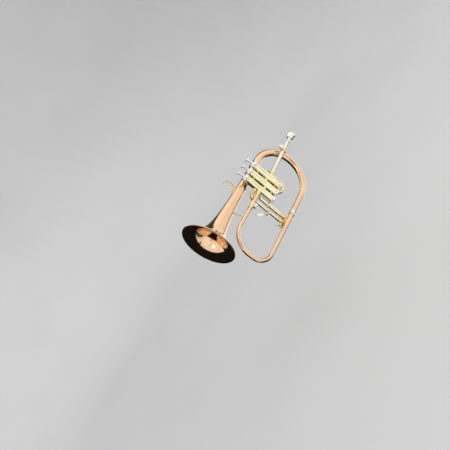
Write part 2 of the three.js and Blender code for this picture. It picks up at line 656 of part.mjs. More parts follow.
function addValves() {
  [-1, 0, 1].forEach((place, i) => {
    const x = place * VALVE.pitch;
    const number = i + 1;
    add(`casing_${number}`, casing(), yellowBrass, x);
    add(`top_cap_${number}`, topCap(), silver, x);
    add(`bottom_cap_${number}`, bottomCap(), silver, x);
    add(`piston_${number}`, piston(), silver, x);
    add(`valve_spring_${number}`, valveSpring(), steel, x);
    add(`valve_stem_${number}`, valveStem(), silver, x);
    add(`finger_button_${number}`, fingerButton(), silver, x);
  });
  [[-VALVE.pitch, 0, '12', -5], [0, VALVE.pitch, '23', -13]].forEach(([from, to, pair, z]) => {
    add(`crossover_${pair}`, link(from, to, z, 5.2, 4.6), yellowBrass);
    add(`upper_casing_brace_${pair}`, link(from, to, 27, 2.2), yellowBrass);
    add(`lower_casing_brace_${pair}`, link(from, to, -36, 2.2), yellowBrass);
  });
}

function addMouthpipe() {
  add('mouthpipe', mouthpipe(), nickel);
  add('tuning_pipe', tuningPipe(), nickel);
  add('clamp_collar', clampCollar(), yellowBrass);
  add('clamp_screw', clampScrew(), silver);
  add('mouthpiece', mouthpiece(), silver);
  add('mouthpipe_brace', mouthpipeBrace(), yellowBrass);
}

function addFirstSlide() {
  const x = -VALVE.pitch;
  const { y, rearX, frontX, rearZ, frontZ, end, top, centre } = FIRST;
  add('first_slide_rear_leg', legSolid(fixedLeg(x, rearX, y, rearZ, 10, end), x), nickel);
  add('first_slide_front_leg', legSolid(fixedLeg(x, frontX, y, frontZ, 9, end), x), nickel);
  const on = plane([(rearX + frontX) / 2, y, 0], [1, 0, 0], [0, 0, 1]);
  add('first_slide_bow', slideBow(on, (frontX - rearX) / 2, top, end - GAP, centre), yellowBrass);
}

function addSecondSlide() {
  const { x, upperZ, lowerZ, end, top, centre } = SECOND;
  [['upper', -x, upperZ], ['lower', x, lowerZ]].forEach(([level, legX, legZ]) => {
    const on = plane([legX, 0, legZ], [0, -1, 0], [0, 0, 1]);
    const leg = plainPipe(straight(6, -end), on, LEG.outer, LEG.bore, LEG.collar, LEG.collarLength);
    add(`second_slide_${level}_leg`, cut(leg, valveColumn(0)), nickel);
  });
  const span = new THREE.Vector3(2 * x, 0, lowerZ - upperZ);
  const half = span.length() / 2;
  const middle = (upperZ + lowerZ) / 2;
  const on = plane([0, 0, middle], span.toArray(), [0, 1, 0]);
  add('second_slide_bow', slideBow(on, half, top, end - GAP, centre), yellowBrass);
  const foot = centre - half - LEG.bow - GAP - 0.2;
  const knob = turned([[0, 0], [3.4, 0], [2.2, 1.5], [2.2, 3], [4, 4], [4, 5.4], [0, 6]], 12);
  knob.rotateX(RIGHT_ANGLE);
  knob.translate(0, foot, middle);
  add('second_slide_knob', knob, nickel);
}

function addThirdSlide() {
  const x = VALVE.pitch;
  const { y, frontX, rearX, frontZ, rearZ, end, top, centre } = THIRD;
  add('third_slide_front_leg', legSolid(fixedLeg(x, frontX, y, frontZ, 12, end), x), nickel);
  add('third_slide_rear_leg', sleevedLeg(fixedLeg(x, rearX, y, rearZ, 6.5, end, 5.3), x), nickel);
  const on = plane([(rearX + frontX) / 2, y, 0], [1, 0, 0], [0, 0, 1]);
  add('third_slide_bow', slideBow(on, (frontX - rearX) / 2, top, end - GAP, centre), yellowBrass);
  const braceFrom = rearX + 6.2 + GAP;
  add('third_slide_brace', bar([braceFrom, y, -50], [frontX - LEG.outer - GAP, y, -50], 2, 10), yellowBrass);
  add('trigger_bracket', triggerBracket(), yellowBrass);
  add('trigger_lever', triggerLever(), nickel);
  add('trigger_rod', triggerRod(), yellowBrass);
  add('water_key_saddle', waterKeySaddle(), yellowBrass);
  add('water_key_lever', waterKeyLever(), nickel);
}

addMainTube();
addValves();
addMouthpipe();
addFirstSlide();
addSecondSlide();
addThirdSlide();
add('finger_hook', fingerHook(), yellowBrass);
add('bell_brace', bellBrace(), yellowBrass);
add('lyre_socket', lyreSocket(), silver);
add('lyre_screw', lyreScrew(), silver);

export default flugelhorn;
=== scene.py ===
"""Looks of a lacquered three-valve flugelhorn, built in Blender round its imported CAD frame.

Lengths are in millimetres until a mesh is made, in the part's own frame: +X to the bell,
+Y to the player's left, +Z up along the valves, from the middle of the valve stack.
"""
import json
import math

import bmesh
import bpy
from mathutils import Matrix, Vector

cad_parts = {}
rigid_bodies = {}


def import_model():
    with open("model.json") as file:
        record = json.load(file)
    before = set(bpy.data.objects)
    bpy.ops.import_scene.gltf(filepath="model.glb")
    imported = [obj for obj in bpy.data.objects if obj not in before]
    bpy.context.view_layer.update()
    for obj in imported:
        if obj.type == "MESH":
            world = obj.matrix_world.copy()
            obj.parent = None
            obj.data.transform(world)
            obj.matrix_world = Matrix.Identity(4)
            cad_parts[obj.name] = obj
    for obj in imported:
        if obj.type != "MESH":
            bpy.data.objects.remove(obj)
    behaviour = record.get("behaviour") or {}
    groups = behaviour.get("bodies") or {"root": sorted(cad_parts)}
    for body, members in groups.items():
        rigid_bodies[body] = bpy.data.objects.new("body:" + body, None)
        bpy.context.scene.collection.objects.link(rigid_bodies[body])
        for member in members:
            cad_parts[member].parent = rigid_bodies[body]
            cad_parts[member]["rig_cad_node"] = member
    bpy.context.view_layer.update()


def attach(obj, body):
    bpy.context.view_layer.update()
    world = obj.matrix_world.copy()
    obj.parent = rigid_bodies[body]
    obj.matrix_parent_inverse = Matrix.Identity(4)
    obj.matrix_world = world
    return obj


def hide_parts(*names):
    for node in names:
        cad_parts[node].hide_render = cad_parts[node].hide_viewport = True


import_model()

scene = bpy.context.scene
MM = 0.001

# ---------- driving dimensions, as in the CAD ----------
# Valves: spacing, radii of casing, bore, caps, button and stem, and heights on the valve's axis.
PITCH = 26.5
CASING, BORE, CAP = 10.2, 8.7, 11.4
CASING_HALF = 46.0
CAP_FOOT, CAP_FACE = 46.3, 55.0
BUTTON_BASE, BUTTON_RADIUS = 69.3, 7.0
STEM_RADIUS = 2.6
# Radius from a valve's axis at which a tube that meets the casing ends.
SADDLE = 9.4

# Bell: its axis, its small end, its rim, the flare's curve, and the thickness of every tube's wall.
BELL_Y, BELL_Z = -26.0, 37.5
BELL_TAIL = -29.7
RIM_X, RIM_RADIUS, BEAD = 250.7, 76.2, 1.6
FLARE_CORE, FLARE_SPREAD, FLARE_POLE = 6.5, 1560.0, 273.3
WALL = 0.45

# Main tube: the exit, the lower branch, the front and rear bows, and the taper.
EXIT_Z = -5.0
EXIT_START, EXIT_END = 34.5, 88.0
BRANCH_Y, BRANCH_Z = 2.0, -119.7
BRANCH_JOINT = 19.0
FRONT_X, FRONT_UPPER, FRONT_LOWER = 214.5, 57.0, 43.5
REAR_X, REAR_LOWER, REAR_UPPER = -138.5, 91.0, 67.0
BELL_JOINT = -30.0
TAPER_SMALL, TAPER_GROWTH, TAPER_FROM, TAPER_POWER = 5.6, 5.5, 290.0, 0.75

# Mouthpipe: its height at the first valve, its slope, and the mouthpiece's rim along its axis.
PIPE_Z, PIPE_RISE = -12.3, math.radians(2)
MOUTHPIECE_RIM = 181.5
# Slides: radii of the outer leg, its bore, the sliding leg, its bow and the collar at a leg's foot.
LEG_OUTER, LEG_BORE, LEG_INNER, LEG_BOW, LEG_COLLAR = 4.9, 4.3, 4.0, 4.6, 5.8
# Third slide: its side, its two legs and the height of their feet.
THIRD_Y = -11.0
THIRD_FRONT, THIRD_REAR, THIRD_FOOT = 57.8, 40.6, -94.0

X, Y, Z = Vector((1, 0, 0)), Vector((0, 1, 0)), Vector((0, 0, 1))

# ---------- shapes ----------


class Route:
    """A flat centre line of straight runs and round bends."""

    def __init__(self, x=0.0, y=0.0, heading=0.0):
        self.parts = []
        self.end = (x, y, math.radians(heading))
        self.length = 0.0

    def _extend(self, distance, curvature):
        self.parts.append((self.length, distance, self.end, curvature))
        self.length += distance
        self.end = self.at(self.length)
        return self

    def run(self, distance):
        return self._extend(distance, 0.0)

    def bend(self, radius, degrees):
        """Turns left for positive degrees and right for negative ones."""
        return self._extend(radius * abs(math.radians(degrees)), math.copysign(1 / radius, degrees))

    def at(self, s):
        """The x, y and heading at a distance along the route."""
        part = self.parts[0]
        for candidate in self.parts:
            if s >= candidate[0]:
                part = candidate
        start, _, (x, y, heading), curvature = part
        d = s - start
        if curvature == 0.0:
            return x + d * math.cos(heading), y + d * math.sin(heading), heading
        turned_to = heading + curvature * d
        return (
            x + (math.sin(turned_to) - math.sin(heading)) / curvature,
            y - (math.cos(turned_to) - math.cos(heading)) / curvature,
            turned_to,
        )

    def places(self, step):
        """Distances where a ring is needed: the ends of runs, and every step of a bend."""
        found = [0.0]
        for start, distance, _, curvature in self.parts:
            count = max(1, math.ceil(distance / step)) if curvature else 1
            found += [start + distance * (i + 1) / count for i in range(count)]
        return found


class Plane:
    """A plane in space that a route is drawn on."""

    def __init__(self, origin, along, up):
        self.origin = Vector(origin)
        self.u = Vector(along).normalized()
        self.v = Vector(up).normalized()

    def ring(self, route, s, radius):
        """A ring square to the route: its centre, its two axes and its radius."""
        x, y, heading = route.at(s)
        along = self.u * math.cos(heading) + self.v * math.sin(heading)
        across = self.v * math.cos(heading) - self.u * math.sin(heading)
        return self.origin + self.u * x + self.v * y, across, along.cross(across), radius


def soften(outline, size, least=25.0):
    """Rounds an outline's corners that turn by more than the least angle."""
    result = [outline[0]]
    for before, corner, after in zip(outline, outline[1:], outline[2:]):
        a, p, b = Vector(before), Vector(corner), Vector(after)
        into, out = a - p, b - p
        doubled = min(into.length, out.length) < 1e-6
        if doubled or 180 - math.degrees(into.angle(out)) < least:
            result.append(corner)
            continue
        reach = min(size, into.length / 2.2, out.length / 2.2)
        first, last = p + into.normalized() * reach, p + out.normalized() * reach
        middle = first * 0.25 + p * 0.5 + last * 0.25
        result += [tuple(first), tuple(middle), tuple(last)]
    return result + [outline[-1]]


def loft(rings, sides, closed=False, grooves=None):
    """Skins rings of corners; open ends get flat caps, a closed one is a pipe's wall.

    Every second corner of a ring is pulled in by the ring's groove depth.
    """
    points, faces = [], []
    for index, (centre, across, up, radius) in enumerate(rings):
        groove = grooves[index] if grooves else 0.0
        for i in range(sides):
            angle = 2 * math.pi * i / sides
            reach = radius - groove if i % 2 else radius
            points.append(centre + across * (reach * math.cos(angle)) + up * (reach * math.sin(angle)))
    count = len(rings)
    for j in range(count if closed else count - 1):
        for i in range(sides):
            k, n = (i + 1) % sides, (j + 1) % count
            faces.append((j * sides + i, j * sides + k, n * sides + k, n * sides + i))
    if not closed:
        faces.append(tuple(reversed(range(sides))))
        faces.append(tuple(range((count - 1) * sides, count * sides)))
    return points, faces


def refine(outline, places):
    """Adds the ring places of a route to an outline of (distance, radius) pairs."""
    result = [outline[0]]
    for (s0, r0), (s1, r1) in zip(outline, outline[1:]):
        for s in places:
            if s0 + 0.05 < s < s1 - 0.05:
                result.append((s, r0 + (r1 - r0) * (s - s0) / (s1 - s0)))
        result.append((s1, r1))
    return result


def pipe(route, plane, outer, inner, step=3.0, sides=40, saddle=0.0):
    """A hollow pipe along a route, with a bore radius or a whole inner outline.

    A saddle end is shaped to sit on a round casing.
    """
    if not isinstance(inner, list):
        inner = [(outer[0][0], inner), (outer[-1][0], inner)]
    places = route.places(step)
    walls = refine(outer, places) + refine(inner, places)[::-1]
    rings = [plane.ring(route, s, radius) for s, radius in walls]
    points, faces = loft(rings, sides, closed=True)
    if saddle:
        heading = plane.u * math.cos(route.at(0)[2]) + plane.v * math.sin(route.at(0)[2])
        sideways = heading.cross(Z)
        for start in (0, (len(rings) - 1) * sides):
            for i in range(start, start + sides):
                width = min(abs((points[i] - rings[0][0]).dot(sideways)), saddle)
                points[i] = points[i] - heading * (saddle - math.sqrt(saddle**2 - width**2))
    return points, faces


def plain_pipe(route, plane, radius, bore, saddle=0.0, collars=()):
    """A pipe of one size with raised collars, each (from, to, radius)."""
    outline = [(0.0, radius)]
    for low, high, size in sorted(collars):
        outline += [(low, radius), (low, size), (high, size), (high, radius)]
    outline.append((route.length, radius))
    if outline[-2][0] >= route.length - 1e-6:
        outline = outline[:-2]
    return pipe(route, plane, soften(outline, 0.5), bore, sides=36, saddle=saddle)


def lathe_rings(outline, origin, axis):
    """Rings square to an axis, one for each (height, radius) pair."""
    axis = Vector(axis).normalized()
    reference = X if abs(axis.x) < 0.9 else Y
    across = (reference - axis * reference.dot(axis)).normalized()
    up = axis.cross(across)
    return [(Vector(origin) + axis * h, across, up, radius) for h, radius in outline]


def flute_depths(outline, flutes, outside):
    """Each ring's groove depth: flutes is (from, to, depth) and only outside rings are cut."""
    low, high, depth = flutes or (0.0, -1.0, 0.0)
    return [depth if i < outside and low <= h <= high else 0.0 for i, (h, _) in enumerate(outline)]


def turned(outline, origin=(0, 0, 0), axis=Z, sides=48, round_off=0.4, flutes=None):
    """A solid of revolution from (height, radius) pairs, with ends capped flat."""
    soft = soften(outline, round_off)
    return loft(lathe_rings(soft, origin, axis), sides, grooves=flute_depths(soft, flutes, len(soft)))


def hollow_turned(outer, inner, origin=(0, 0, 0), axis=Z, sides=48, round_off=0.4, flutes=None):
    """A ring or sleeve of revolution: the outer outline upwards, then the inner one back."""
    soft = soften([*outer, *inner[::-1]], round_off)
    outside = len(soften([*outer, inner[-1]], round_off)) - 1
    grooves = flute_depths(soft, flutes, outside)
    return loft(lathe_rings(soft, origin, axis), sides, closed=True, grooves=grooves)


def bar(start, end, radius, sides=20):
    """A straight round bar with slightly rounded ends."""
    start, end = Vector(start), Vector(end)
    length = (end - start).length
    edge = min(0.35, radius / 3)
    outline = [(0, radius - edge), (edge, radius), (length - edge, radius), (length, radius - edge)]
    return turned(outline, start, end - start, sides, 0.0)


def wire(knots, radius, sides=16, per_knot=8):
    """A smooth bent wire through its knots, with rounded ends."""
    knots = [Vector(k) for k in knots]
    padded = [knots[0] * 2 - knots[1], *knots, knots[-1] * 2 - knots[-2]]
    line = []
    for a, b, c, d in zip(padded, padded[1:], padded[2:], padded[3:]):
        for i in range(per_knot):
            t = i / per_knot
            line.append(0.5 * ((2 * b) + (c - a) * t + (2 * a - 5 * b + 4 * c - d) * t * t
                               + (3 * b - a - 3 * c + d) * t**3))
    line.append(knots[-1])
    tangents = [(q - p).normalized() for p, q in zip(line, line[1:])]
    tangents.append(tangents[-1])
    across = tangents[0].orthogonal().normalized()
    rings = []
    for index, (place, tangent) in enumerate(zip(line, tangents)):
        across = (across - tangent * across.dot(tangent)).normalized()
        up = tangent.cross(across)
        tip_reach, tip_radius = tangent * radius * 0.6, radius * 0.55
        if index == 0:
            rings.append((place - tip_reach, across, up, tip_radius))
        rings.append((place, across, up, radius))
        if index == len(line) - 1:
            rings.append((place + tip_reach, across, up, tip_radius))
    return loft(rings, sides)


def block(size, centre, bevel=0.5, turn=None):
    """A box with rounded edges, turned about its centre."""
    mesh = bmesh.new()
    bmesh.ops.create_cube(mesh, size=1.0)
    bmesh.ops.scale(mesh, vec=Vector(size), verts=mesh.verts)
    bmesh.ops.bevel(mesh, geom=mesh.edges[:], offset=bevel, segments=3, profile=0.5, affect="EDGES")
    if turn:
        bmesh.ops.transform(mesh, matrix=turn, verts=mesh.verts)
    bmesh.ops.translate(mesh, vec=Vector(centre), verts=mesh.verts)
    mesh.verts.ensure_lookup_table()
    points = [v.co.copy() for v in mesh.verts]
    faces = [tuple(v.index for v in f.verts) for f in mesh.faces]
    mesh.free()
    return points, faces


def piece(name, body, finish, shapes, replaces=(), sharp=40.0):
    """Makes one object from one or more shapes, riding on a CAD body."""
    material, slot = finish
    points, faces = [], []
    for shape_points, shape_faces in shapes:
        offset = len(points)
        points += [p * MM for p in shape_points]
        faces += [tuple(i + offset for i in face) for face in shape_faces]
    mesh = bpy.data.meshes.new(name)
    mesh.from_pydata(points, [], faces)
    mesh.shade_smooth()
    mesh.set_sharp_from_angle(angle=math.radians(sharp))
    mesh.materials.append(material)
    made = bpy.data.objects.new(name, mesh)
    scene.collection.objects.link(made)
    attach(made, body)
    if replaces:
        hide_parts(*replaces)
    return made


# ---------- materials ----------


def node(tree, kind, place, **values):
    """Adds a shader node, with its settings and the values of its unlinked sockets."""
    made = tree.nodes.new(kind)
    made.location = place
    for key, value in values.items():
        if hasattr(made, key):
            setattr(made, key, value)
        else:
            made.inputs[key.replace("_", " ")].default_value = value
    return made


def noise(tree, coordinates, scale, detail, place):
    """A noise texture's grey value."""
    made = node(tree, "ShaderNodeTexNoise", place, Scale=scale, Detail=detail)
    tree.links.new(coordinates, made.inputs["Vector"])
    return made.outputs["Fac"]


def ramp(tree, factor, stops, place):
    """A colour ramp from (position, colour) stops."""
    made = node(tree, "ShaderNodeValToRGB", place)
    elements = made.color_ramp.elements
    while len(elements) < len(stops):
        elements.new(0.5)
    for element, (position, colour) in zip(elements, stops):
        element.position = position
        element.color = colour
    tree.links.new(factor, made.inputs["Fac"])
    return made.outputs["Color"]


def spread(tree, factor, low, high, place):
    """Maps a noise's middle range onto low..high."""
    made = node(tree, "ShaderNodeMapRange", place, From_Min=0.3, From_Max=0.7, To_Min=low, To_Max=high)
    tree.links.new(factor, made.inputs["Value"])
    return made.outputs["Result"]


def relief(tree, height, strength, depth_mm, shader):
    """Lets a noise raise the shader's surface a little."""
    bump = node(tree, "ShaderNodeBump", (-400, -300), Strength=strength, Distance=depth_mm * MM)
    tree.links.new(height, bump.inputs["Height"])
    tree.links.new(bump.outputs["Normal"], shader.inputs["Normal"])


def shade(colour, factor):
    """A darker colour, with full alpha."""
    return tuple(c * factor for c in colour) + (1.0,)


def new_material(name):
    """A material with its node tree, its shader and the object's own coordinates."""
    made = bpy.data.materials.new(name)
    made.use_nodes = True
    tree = made.node_tree
    shader = tree.nodes["Principled BSDF"]
    coordinates = node(tree, "ShaderNodeTexCoord", (-1200, 0)).outputs["Object"]
    return made, tree, shader, coordinates


def polished_metal(name, colour, tarnish, smooth, rough, coat=0.0, slot=None):
    """Buffed metal, with its slot: a cloudy lacquer tint, a smudged polish and faint wiping marks."""
    made, tree, shader, coordinates = new_material(name)
    clouds = noise(tree, coordinates, 24.0, 4.0, (-950, 300))
    tints = [(0.3, shade(colour, 0.9)), (0.62, shade(colour, 1.0)), (0.85, tarnish)]
    tree.links.new(ramp(tree, clouds, tints, (-700, 300)), shader.inputs["Base Color"])
    smudges = noise(tree, coordinates, 90.0, 6.0, (-950, 0))
    tree.links.new(spread(tree, smudges, smooth, rough, (-700, 0)), shader.inputs["Roughness"])
    stretch = node(tree, "ShaderNodeMapping", (-950, -300), Scale=(140.0, 900.0, 900.0))
    tree.links.new(coordinates, stretch.inputs["Vector"])
    marks = noise(tree, stretch.outputs["Vector"], 1.0, 3.0, (-700, -300))
    relief(tree, marks, 0.12, 0.004, shader)
    shader.inputs["Metallic"].default_value = 1.0
    shader.inputs["Coat Weight"].default_value = coat
    shader.inputs["Coat Roughness"].default_value = 0.04
    shader.inputs["Coat IOR"].default_value = 1.5
    return made, slot or name


def felt_material():
    """Felt: mottled off-white wool with a grain in relief."""
    made, tree, shader, coordinates = new_material("felt")
    grain = noise(tree, coordinates, 900.0, 8.0, (-950, 200))
    stops = [(0.35, (0.5, 0.48, 0.44, 1)), (0.65, (0.72, 0.7, 0.66, 1))]
    tree.links.new(ramp(tree, grain, stops, (-700, 200)), shader.inputs["Base Color"])
    tree.links.new(spread(tree, grain, 0.85, 0.95, (-700, 0)), shader.inputs["Roughness"])
    relief(tree, grain, 0.6, 0.25, shader)
    shader.inputs["Sheen Weight"].default_value = 0.4
    return made


def pearl_material():
    """Mother-of-pearl: pale clouds of warm and cool colour under a gloss."""
    made, tree, shader, coordinates = new_material("pearl")
    clouds = noise(tree, coordinates, 260.0, 3.0, (-950, 200))
    stops = [(0.3, (0.75, 0.78, 0.82, 1)), (0.5, (0.92, 0.88, 0.84, 1)), (0.7, (0.96, 0.95, 0.93, 1))]
    tree.links.new(ramp(tree, clouds, stops, (-700, 200)), shader.inputs["Base Color"])
    tree.links.new(spread(tree, clouds, 0.12, 0.3, (-700, 0)), shader.inputs["Roughness"])
    shader.inputs["Coat Weight"].default_value = 0.6
    return made


# Each finish is a material and the record's slot that it stands for.
ROSE = polished_metal("rose_brass", (0.87, 0.585, 0.37), (0.66, 0.36, 0.18, 1), 0.05, 0.13, 0.3)
YELLOW = polished_metal("yellow_brass", (0.90, 0.73, 0.34), (0.66, 0.47, 0.17, 1), 0.06, 0.15, 0.25)
# The casings' yellow brass, made paler and lighter than the yellow brass above: a painted highlight for
# their bright, washed-out sheen.
PAINTED_HIGHLIGHT_BRASS = polished_metal("pale_brass", (0.92, 0.86, 0.585), (0.74, 0.60, 0.30, 1), 0.05, 0.13, 0.25,
                      "yellow_brass")
NICKEL = polished_metal("nickel_silver", (0.84, 0.80, 0.65), (0.64, 0.59, 0.46, 1), 0.06, 0.14)
SILVER = polished_metal("silver_plate", (0.93, 0.92, 0.89), (0.74, 0.71, 0.64, 1), 0.04, 0.12)
STEEL = polished_metal("spring_steel", (0.56, 0.55, 0.53), (0.38, 0.36, 0.33, 1), 0.18, 0.32)
PEARL = (pearl_material(), None)
FELT = (felt_material(), None)

# ---------- main tube ----------
DROP = Vector((0, -BRANCH_Y, EXIT_Z - BRANCH_Z))
RISE = Vector((0, BELL_Y - BRANCH_Y, BELL_Z - BRANCH_Z))
FRONT_PLANE = Plane((0, 0, EXIT_Z), X, DROP)
REAR_PLANE = Plane((0, BRANCH_Y, BRANCH_Z), X, RISE)


def front_route():
    """From the exit tube, round the front bow and back along the lower branch."""
    height = DROP.length
    route = Route(EXIT_END, 0, 0).run(FRONT_X - FRONT_UPPER - EXIT_END).bend(FRONT_UPPER, -90)
    route.run(height - FRONT_UPPER - FRONT_LOWER).bend(FRONT_LOWER, -90)
    return route.run(FRONT_X - FRONT_LOWER - BRANCH_JOINT)


def rear_route():
    """From the lower branch, round the rear bow and forward to the bell."""
    height = RISE.length
    route = Route(BRANCH_JOINT, 0, 180).run(BRANCH_JOINT - REAR_X - REAR_LOWER).bend(REAR_LOWER, -90)
    route.run(height - REAR_LOWER - REAR_UPPER).bend(REAR_UPPER, -90)
    return route.run(BELL_JOINT - REAR_X - REAR_UPPER)


FRONT = front_route()
REAR = rear_route()
EXIT_LENGTH = EXIT_END - EXIT_START
MAIN_LENGTH = EXIT_LENGTH + FRONT.length + REAR.length


def main_radius(distance):
    """The main tube's outer radius at a distance from the last valve."""
    share = max(0.0, distance - TAPER_FROM) / (MAIN_LENGTH - TAPER_FROM)
    return TAPER_SMALL + TAPER_GROWTH * share**TAPER_POWER


def even_places(route, step):
    """Ring places of a route, with its straight runs divided too."""
    places = route.places(step)
    extra = []
    for low, high in zip(places, places[1:]):
        count = max(1, math.ceil((high - low) / (4 * step)))
        extra += [low + (high - low) * i / count for i in range(count)]
    return [*extra, places[-1]]


def main_tube(route, plane, before):
    """One length of the conical tube; before is the length of tube ahead of it."""
    step = 2.5
    outer = [(s, main_radius(before + s)) for s in even_places(route, step)]
    inner = [(s, radius - WALL) for s, radius in outer]
    return pipe(route, plane, outer, inner, step, 56)


def bell_radius(x):
    """The bell's outer radius at a place along its axis."""
    return FLARE_CORE + FLARE_SPREAD / (FLARE_POLE - x)


def bell_shape():
    """The flared bell: outer wall, rolled bead, inner wall."""
    count, reach, crowding = 30, 250, 1.6
    xs = [BELL_TAIL + reach * (1 - (1 - i / count) ** crowding) for i in range(count)]
    xs += [225, 229, 233, 236.5, 239.5, 242, 244, 245.8, 247.3, 248.5, 249.4]
    outer, inner = [], []
    for x in xs:
        slope = FLARE_SPREAD / (FLARE_POLE - x) ** 2
        size = math.hypot(1, slope)
        outer.append((x, bell_radius(x)))
        inner.append((x + WALL * slope / size, bell_radius(x) - WALL / size))
    centre_x, centre_r = RIM_X - BEAD, RIM_RADIUS - BEAD
    turns = [math.radians(a) for a in range(-125, 31, 22)]
    bead = [(centre_x - BEAD * math.cos(a), centre_r + BEAD * math.sin(a)) for a in turns]
    turns = [math.radians(a) for a in (-35, -5, 25, 55, 80)]
    bead += [(centre_x + BEAD * math.sin(a), centre_r + BEAD * math.cos(a)) for a in turns]
    rings = [(Vector((x, BELL_Y, BELL_Z)), Y, Z, r) for x, r in [*outer, *bead, *inner[::-1]]]
    return loft(rings, 144, closed=True)


def sleeve(plane, level, low, high, radius):
    """A joint ferrule: a raised sleeve with a bead at each end."""
    route = Route(low, level, 0 if high > low else 180).run(abs(high - low))
    length = route.length
    thick = radius + 1.15
    outer = [(0, radius + 0.2), (0, thick), (1.2, thick), (1.6, thick - 0.55), (length - 1.6, thick - 0.55),
             (length - 1.2, thick), (length, thick), (length, radius + 0.2)]
    return pipe(route, plane, soften(outer, 0.45), radius + 0.1, sides=48)


def build_main_tube():
    piece("bell_skin", "horn", ROSE, [bell_shape()], ["bell"], 60)
    piece("rear_bow_tube", "horn", ROSE,
          [main_tube(REAR, REAR_PLANE, EXIT_LENGTH + FRONT.length)], ["rear_bow"])
    piece("front_bow_tube", "horn", ROSE, [main_tube(FRONT, FRONT_PLANE, EXIT_LENGTH)], ["front_bow"])
    bore = TAPER_SMALL - WALL
    flare = [(0, 8.0), (2.5, 7.7), (4.5, 6.7), (9.5, 6.5), (9.8, 7.0), (11.6, 7.0), (11.9, 6.3)]
    knuckle = Route(PITCH + SADDLE).run(11.9)
    piece("exit_knuckle", "horn", YELLOW,
          [pipe(knuckle, FRONT_PLANE, soften(flare, 0.6), bore, sides=48, saddle=SADDLE)])
    wall_start = PITCH + 12
    wall = Route(wall_start).run(EXIT_END - wall_start)
    piece("exit_tube_wall", "horn", ROSE, [plain_pipe(wall, FRONT_PLANE, 6.0, bore)], ["exit_tube"])
    piece("exit_joint_sleeve", "horn", YELLOW,
          [sleeve(FRONT_PLANE, 0, 76, 97, main_radius(70))], ["exit_ferrule"])
    piece("branch_joint_sleeve", "horn", NICKEL,
          [sleeve(FRONT_PLANE, -DROP.length, 27, 12, main_radius(460))], ["branch_ferrule"])
    piece("bell_joint_sleeve", "horn", NICKEL,
          [sleeve(REAR_PLANE, RISE.length, -37, -24, bell_radius(-24))], ["bell_ferrule"])


# ---------- valves ----------


def casing_shape():
    """A valve casing with a bead, a thread relief and a lip at each end."""
    bead, groove, lip = CASING + 0.5, CASING + 0.1, CASING + 0.7
    end = [(41.2, CASING), (41.6, bead), (42.4, bead), (42.6, groove), (44.2, groove), (44.6, lip),
           (CASING_HALF, lip)]
    outer = [(-height, radius) for height, radius in end[::-1]] + end
    return hollow_turned(outer, [(-CASING_HALF, BORE), (CASING_HALF, BORE)], sides=72, round_off=0.3)


def top_cap_shape():
    """A fluted cap with a raised boss round the stem's hole."""
    hole = STEM_RADIUS + 0.5
    fluted = (46.8, 52.6, 0.28)
    outer = [(CAP_FOOT, CAP - 0.5), (46.8, CAP), (52.6, CAP), (53.0, CAP - 0.5), (54.0, CAP - 0.8),
             (54.3, CAP - 1.4), (54.4, 6.4), (CAP_FACE, 5.8), (CAP_FACE, hole)]
    inner = [(CAP_FOOT, BORE), (52, BORE - 0.3), (53, hole)]
    return hollow_turned(outer, inner, sides=120, round_off=0.35, flutes=fluted)


def bottom_cap_shape():
    """A fluted cap that narrows to a knob with a vent hole."""
    vent = 1.2
    fluted = (-50.6, -47.0, 0.28)
    outer = [(-CAP_FACE, vent), (-CAP_FACE, 3.3), (-54.3, 3.9), (-53, 4.3), (-52.4, 9.2),
             (-51.2, CAP - 0.6), (-50.6, CAP), (-47.0, CAP), (-CAP_FOOT, CAP - 0.5)]
    inner = [(-51.5, vent), (-50.2, BORE), (-CAP_FOOT, BORE)]
    return hollow_turned(outer, inner, sides=120, round_off=0.35, flutes=fluted)


def shifted(shape, x):
    """The same shape, moved along X."""
    points, faces = shape
    return [p + Vector((x, 0, 0)) for p in points], faces


def button_shapes(x):
    """A finger button: a silver dish on a collar, holding a pearl disc."""
    base, rim = BUTTON_BASE, BUTTON_RADIUS
    top = base + 4.2
    dish = [(base, 3.2), (base + 0.2, 4.6), (base + 0.8, rim - 1.0), (base + 1.4, rim - 0.2),
            (base + 3.4, rim), (top - 0.1, rim - 0.4), (top - 0.2, rim - 1.2), (top - 0.9, rim - 1.5),
            (top - 1.0, 0.4)]
    disc = [(top - 1.3, 4.8), (top - 0.8, rim - 1.6), (top - 0.45, rim - 2.0), (top - 0.6, 3.0),
            (top - 0.7, 0.4)]
    return (turned(dish, (x, 0, 0), sides=64, round_off=0.25),
            turned(disc, (x, 0, 0), sides=64, round_off=0.2))


def stem_shape(x):
    """A valve stem with a flange at its foot."""
    foot, flange, top = 40.3, 6.0, 69.1
    outline = [(foot, flange), (foot + 2, flange), (foot + 2.5, STEM_RADIUS), (top, STEM_RADIUS), (top, 2.2)]
    return turned(outline, (x, 0, 0), sides=32, round_off=0.2)


def cap_felt_shape(x):
    """The felt washer on a top cap."""
    low, high = CAP_FACE, CAP_FACE + 1.2
    return hollow_turned([(low, 5.3), (high, 5.2)], [(low, 3.1), (high, 3.1)], (x, 0, 0), sides=40)


def build_valves():
    for number, x in ((1, -PITCH), (2, 0.0), (3, PITCH)):
        body = f"valve_{number}"
        dish, disc = button_shapes(x)
        # The casing walls wear the lightened brass, whose paleness is a painted highlight.
        piece(f"casing_wall_{number}", "horn", PAINTED_HIGHLIGHT_BRASS, [shifted(casing_shape(), x)],
              [f"casing_{number}"], 35)
        for end, shape in (("top", top_cap_shape()), ("bottom", bottom_cap_shape())):
            piece(f"{end}_cap_knurled_{number}", "horn", SILVER, [shifted(shape, x)],
                  [f"{end}_cap_{number}"], 30)
        piece(f"finger_button_dish_{number}", body, SILVER, [dish], [f"finger_button_{number}"], 30)
        piece(f"finger_button_pearl_{number}", body, PEARL, [disc])
        piece(f"stem_{number}", body, SILVER, [stem_shape(x)], [f"valve_stem_{number}"])
        piece(f"cap_felt_{number}", "horn", FELT, [cap_felt_shape(x)])


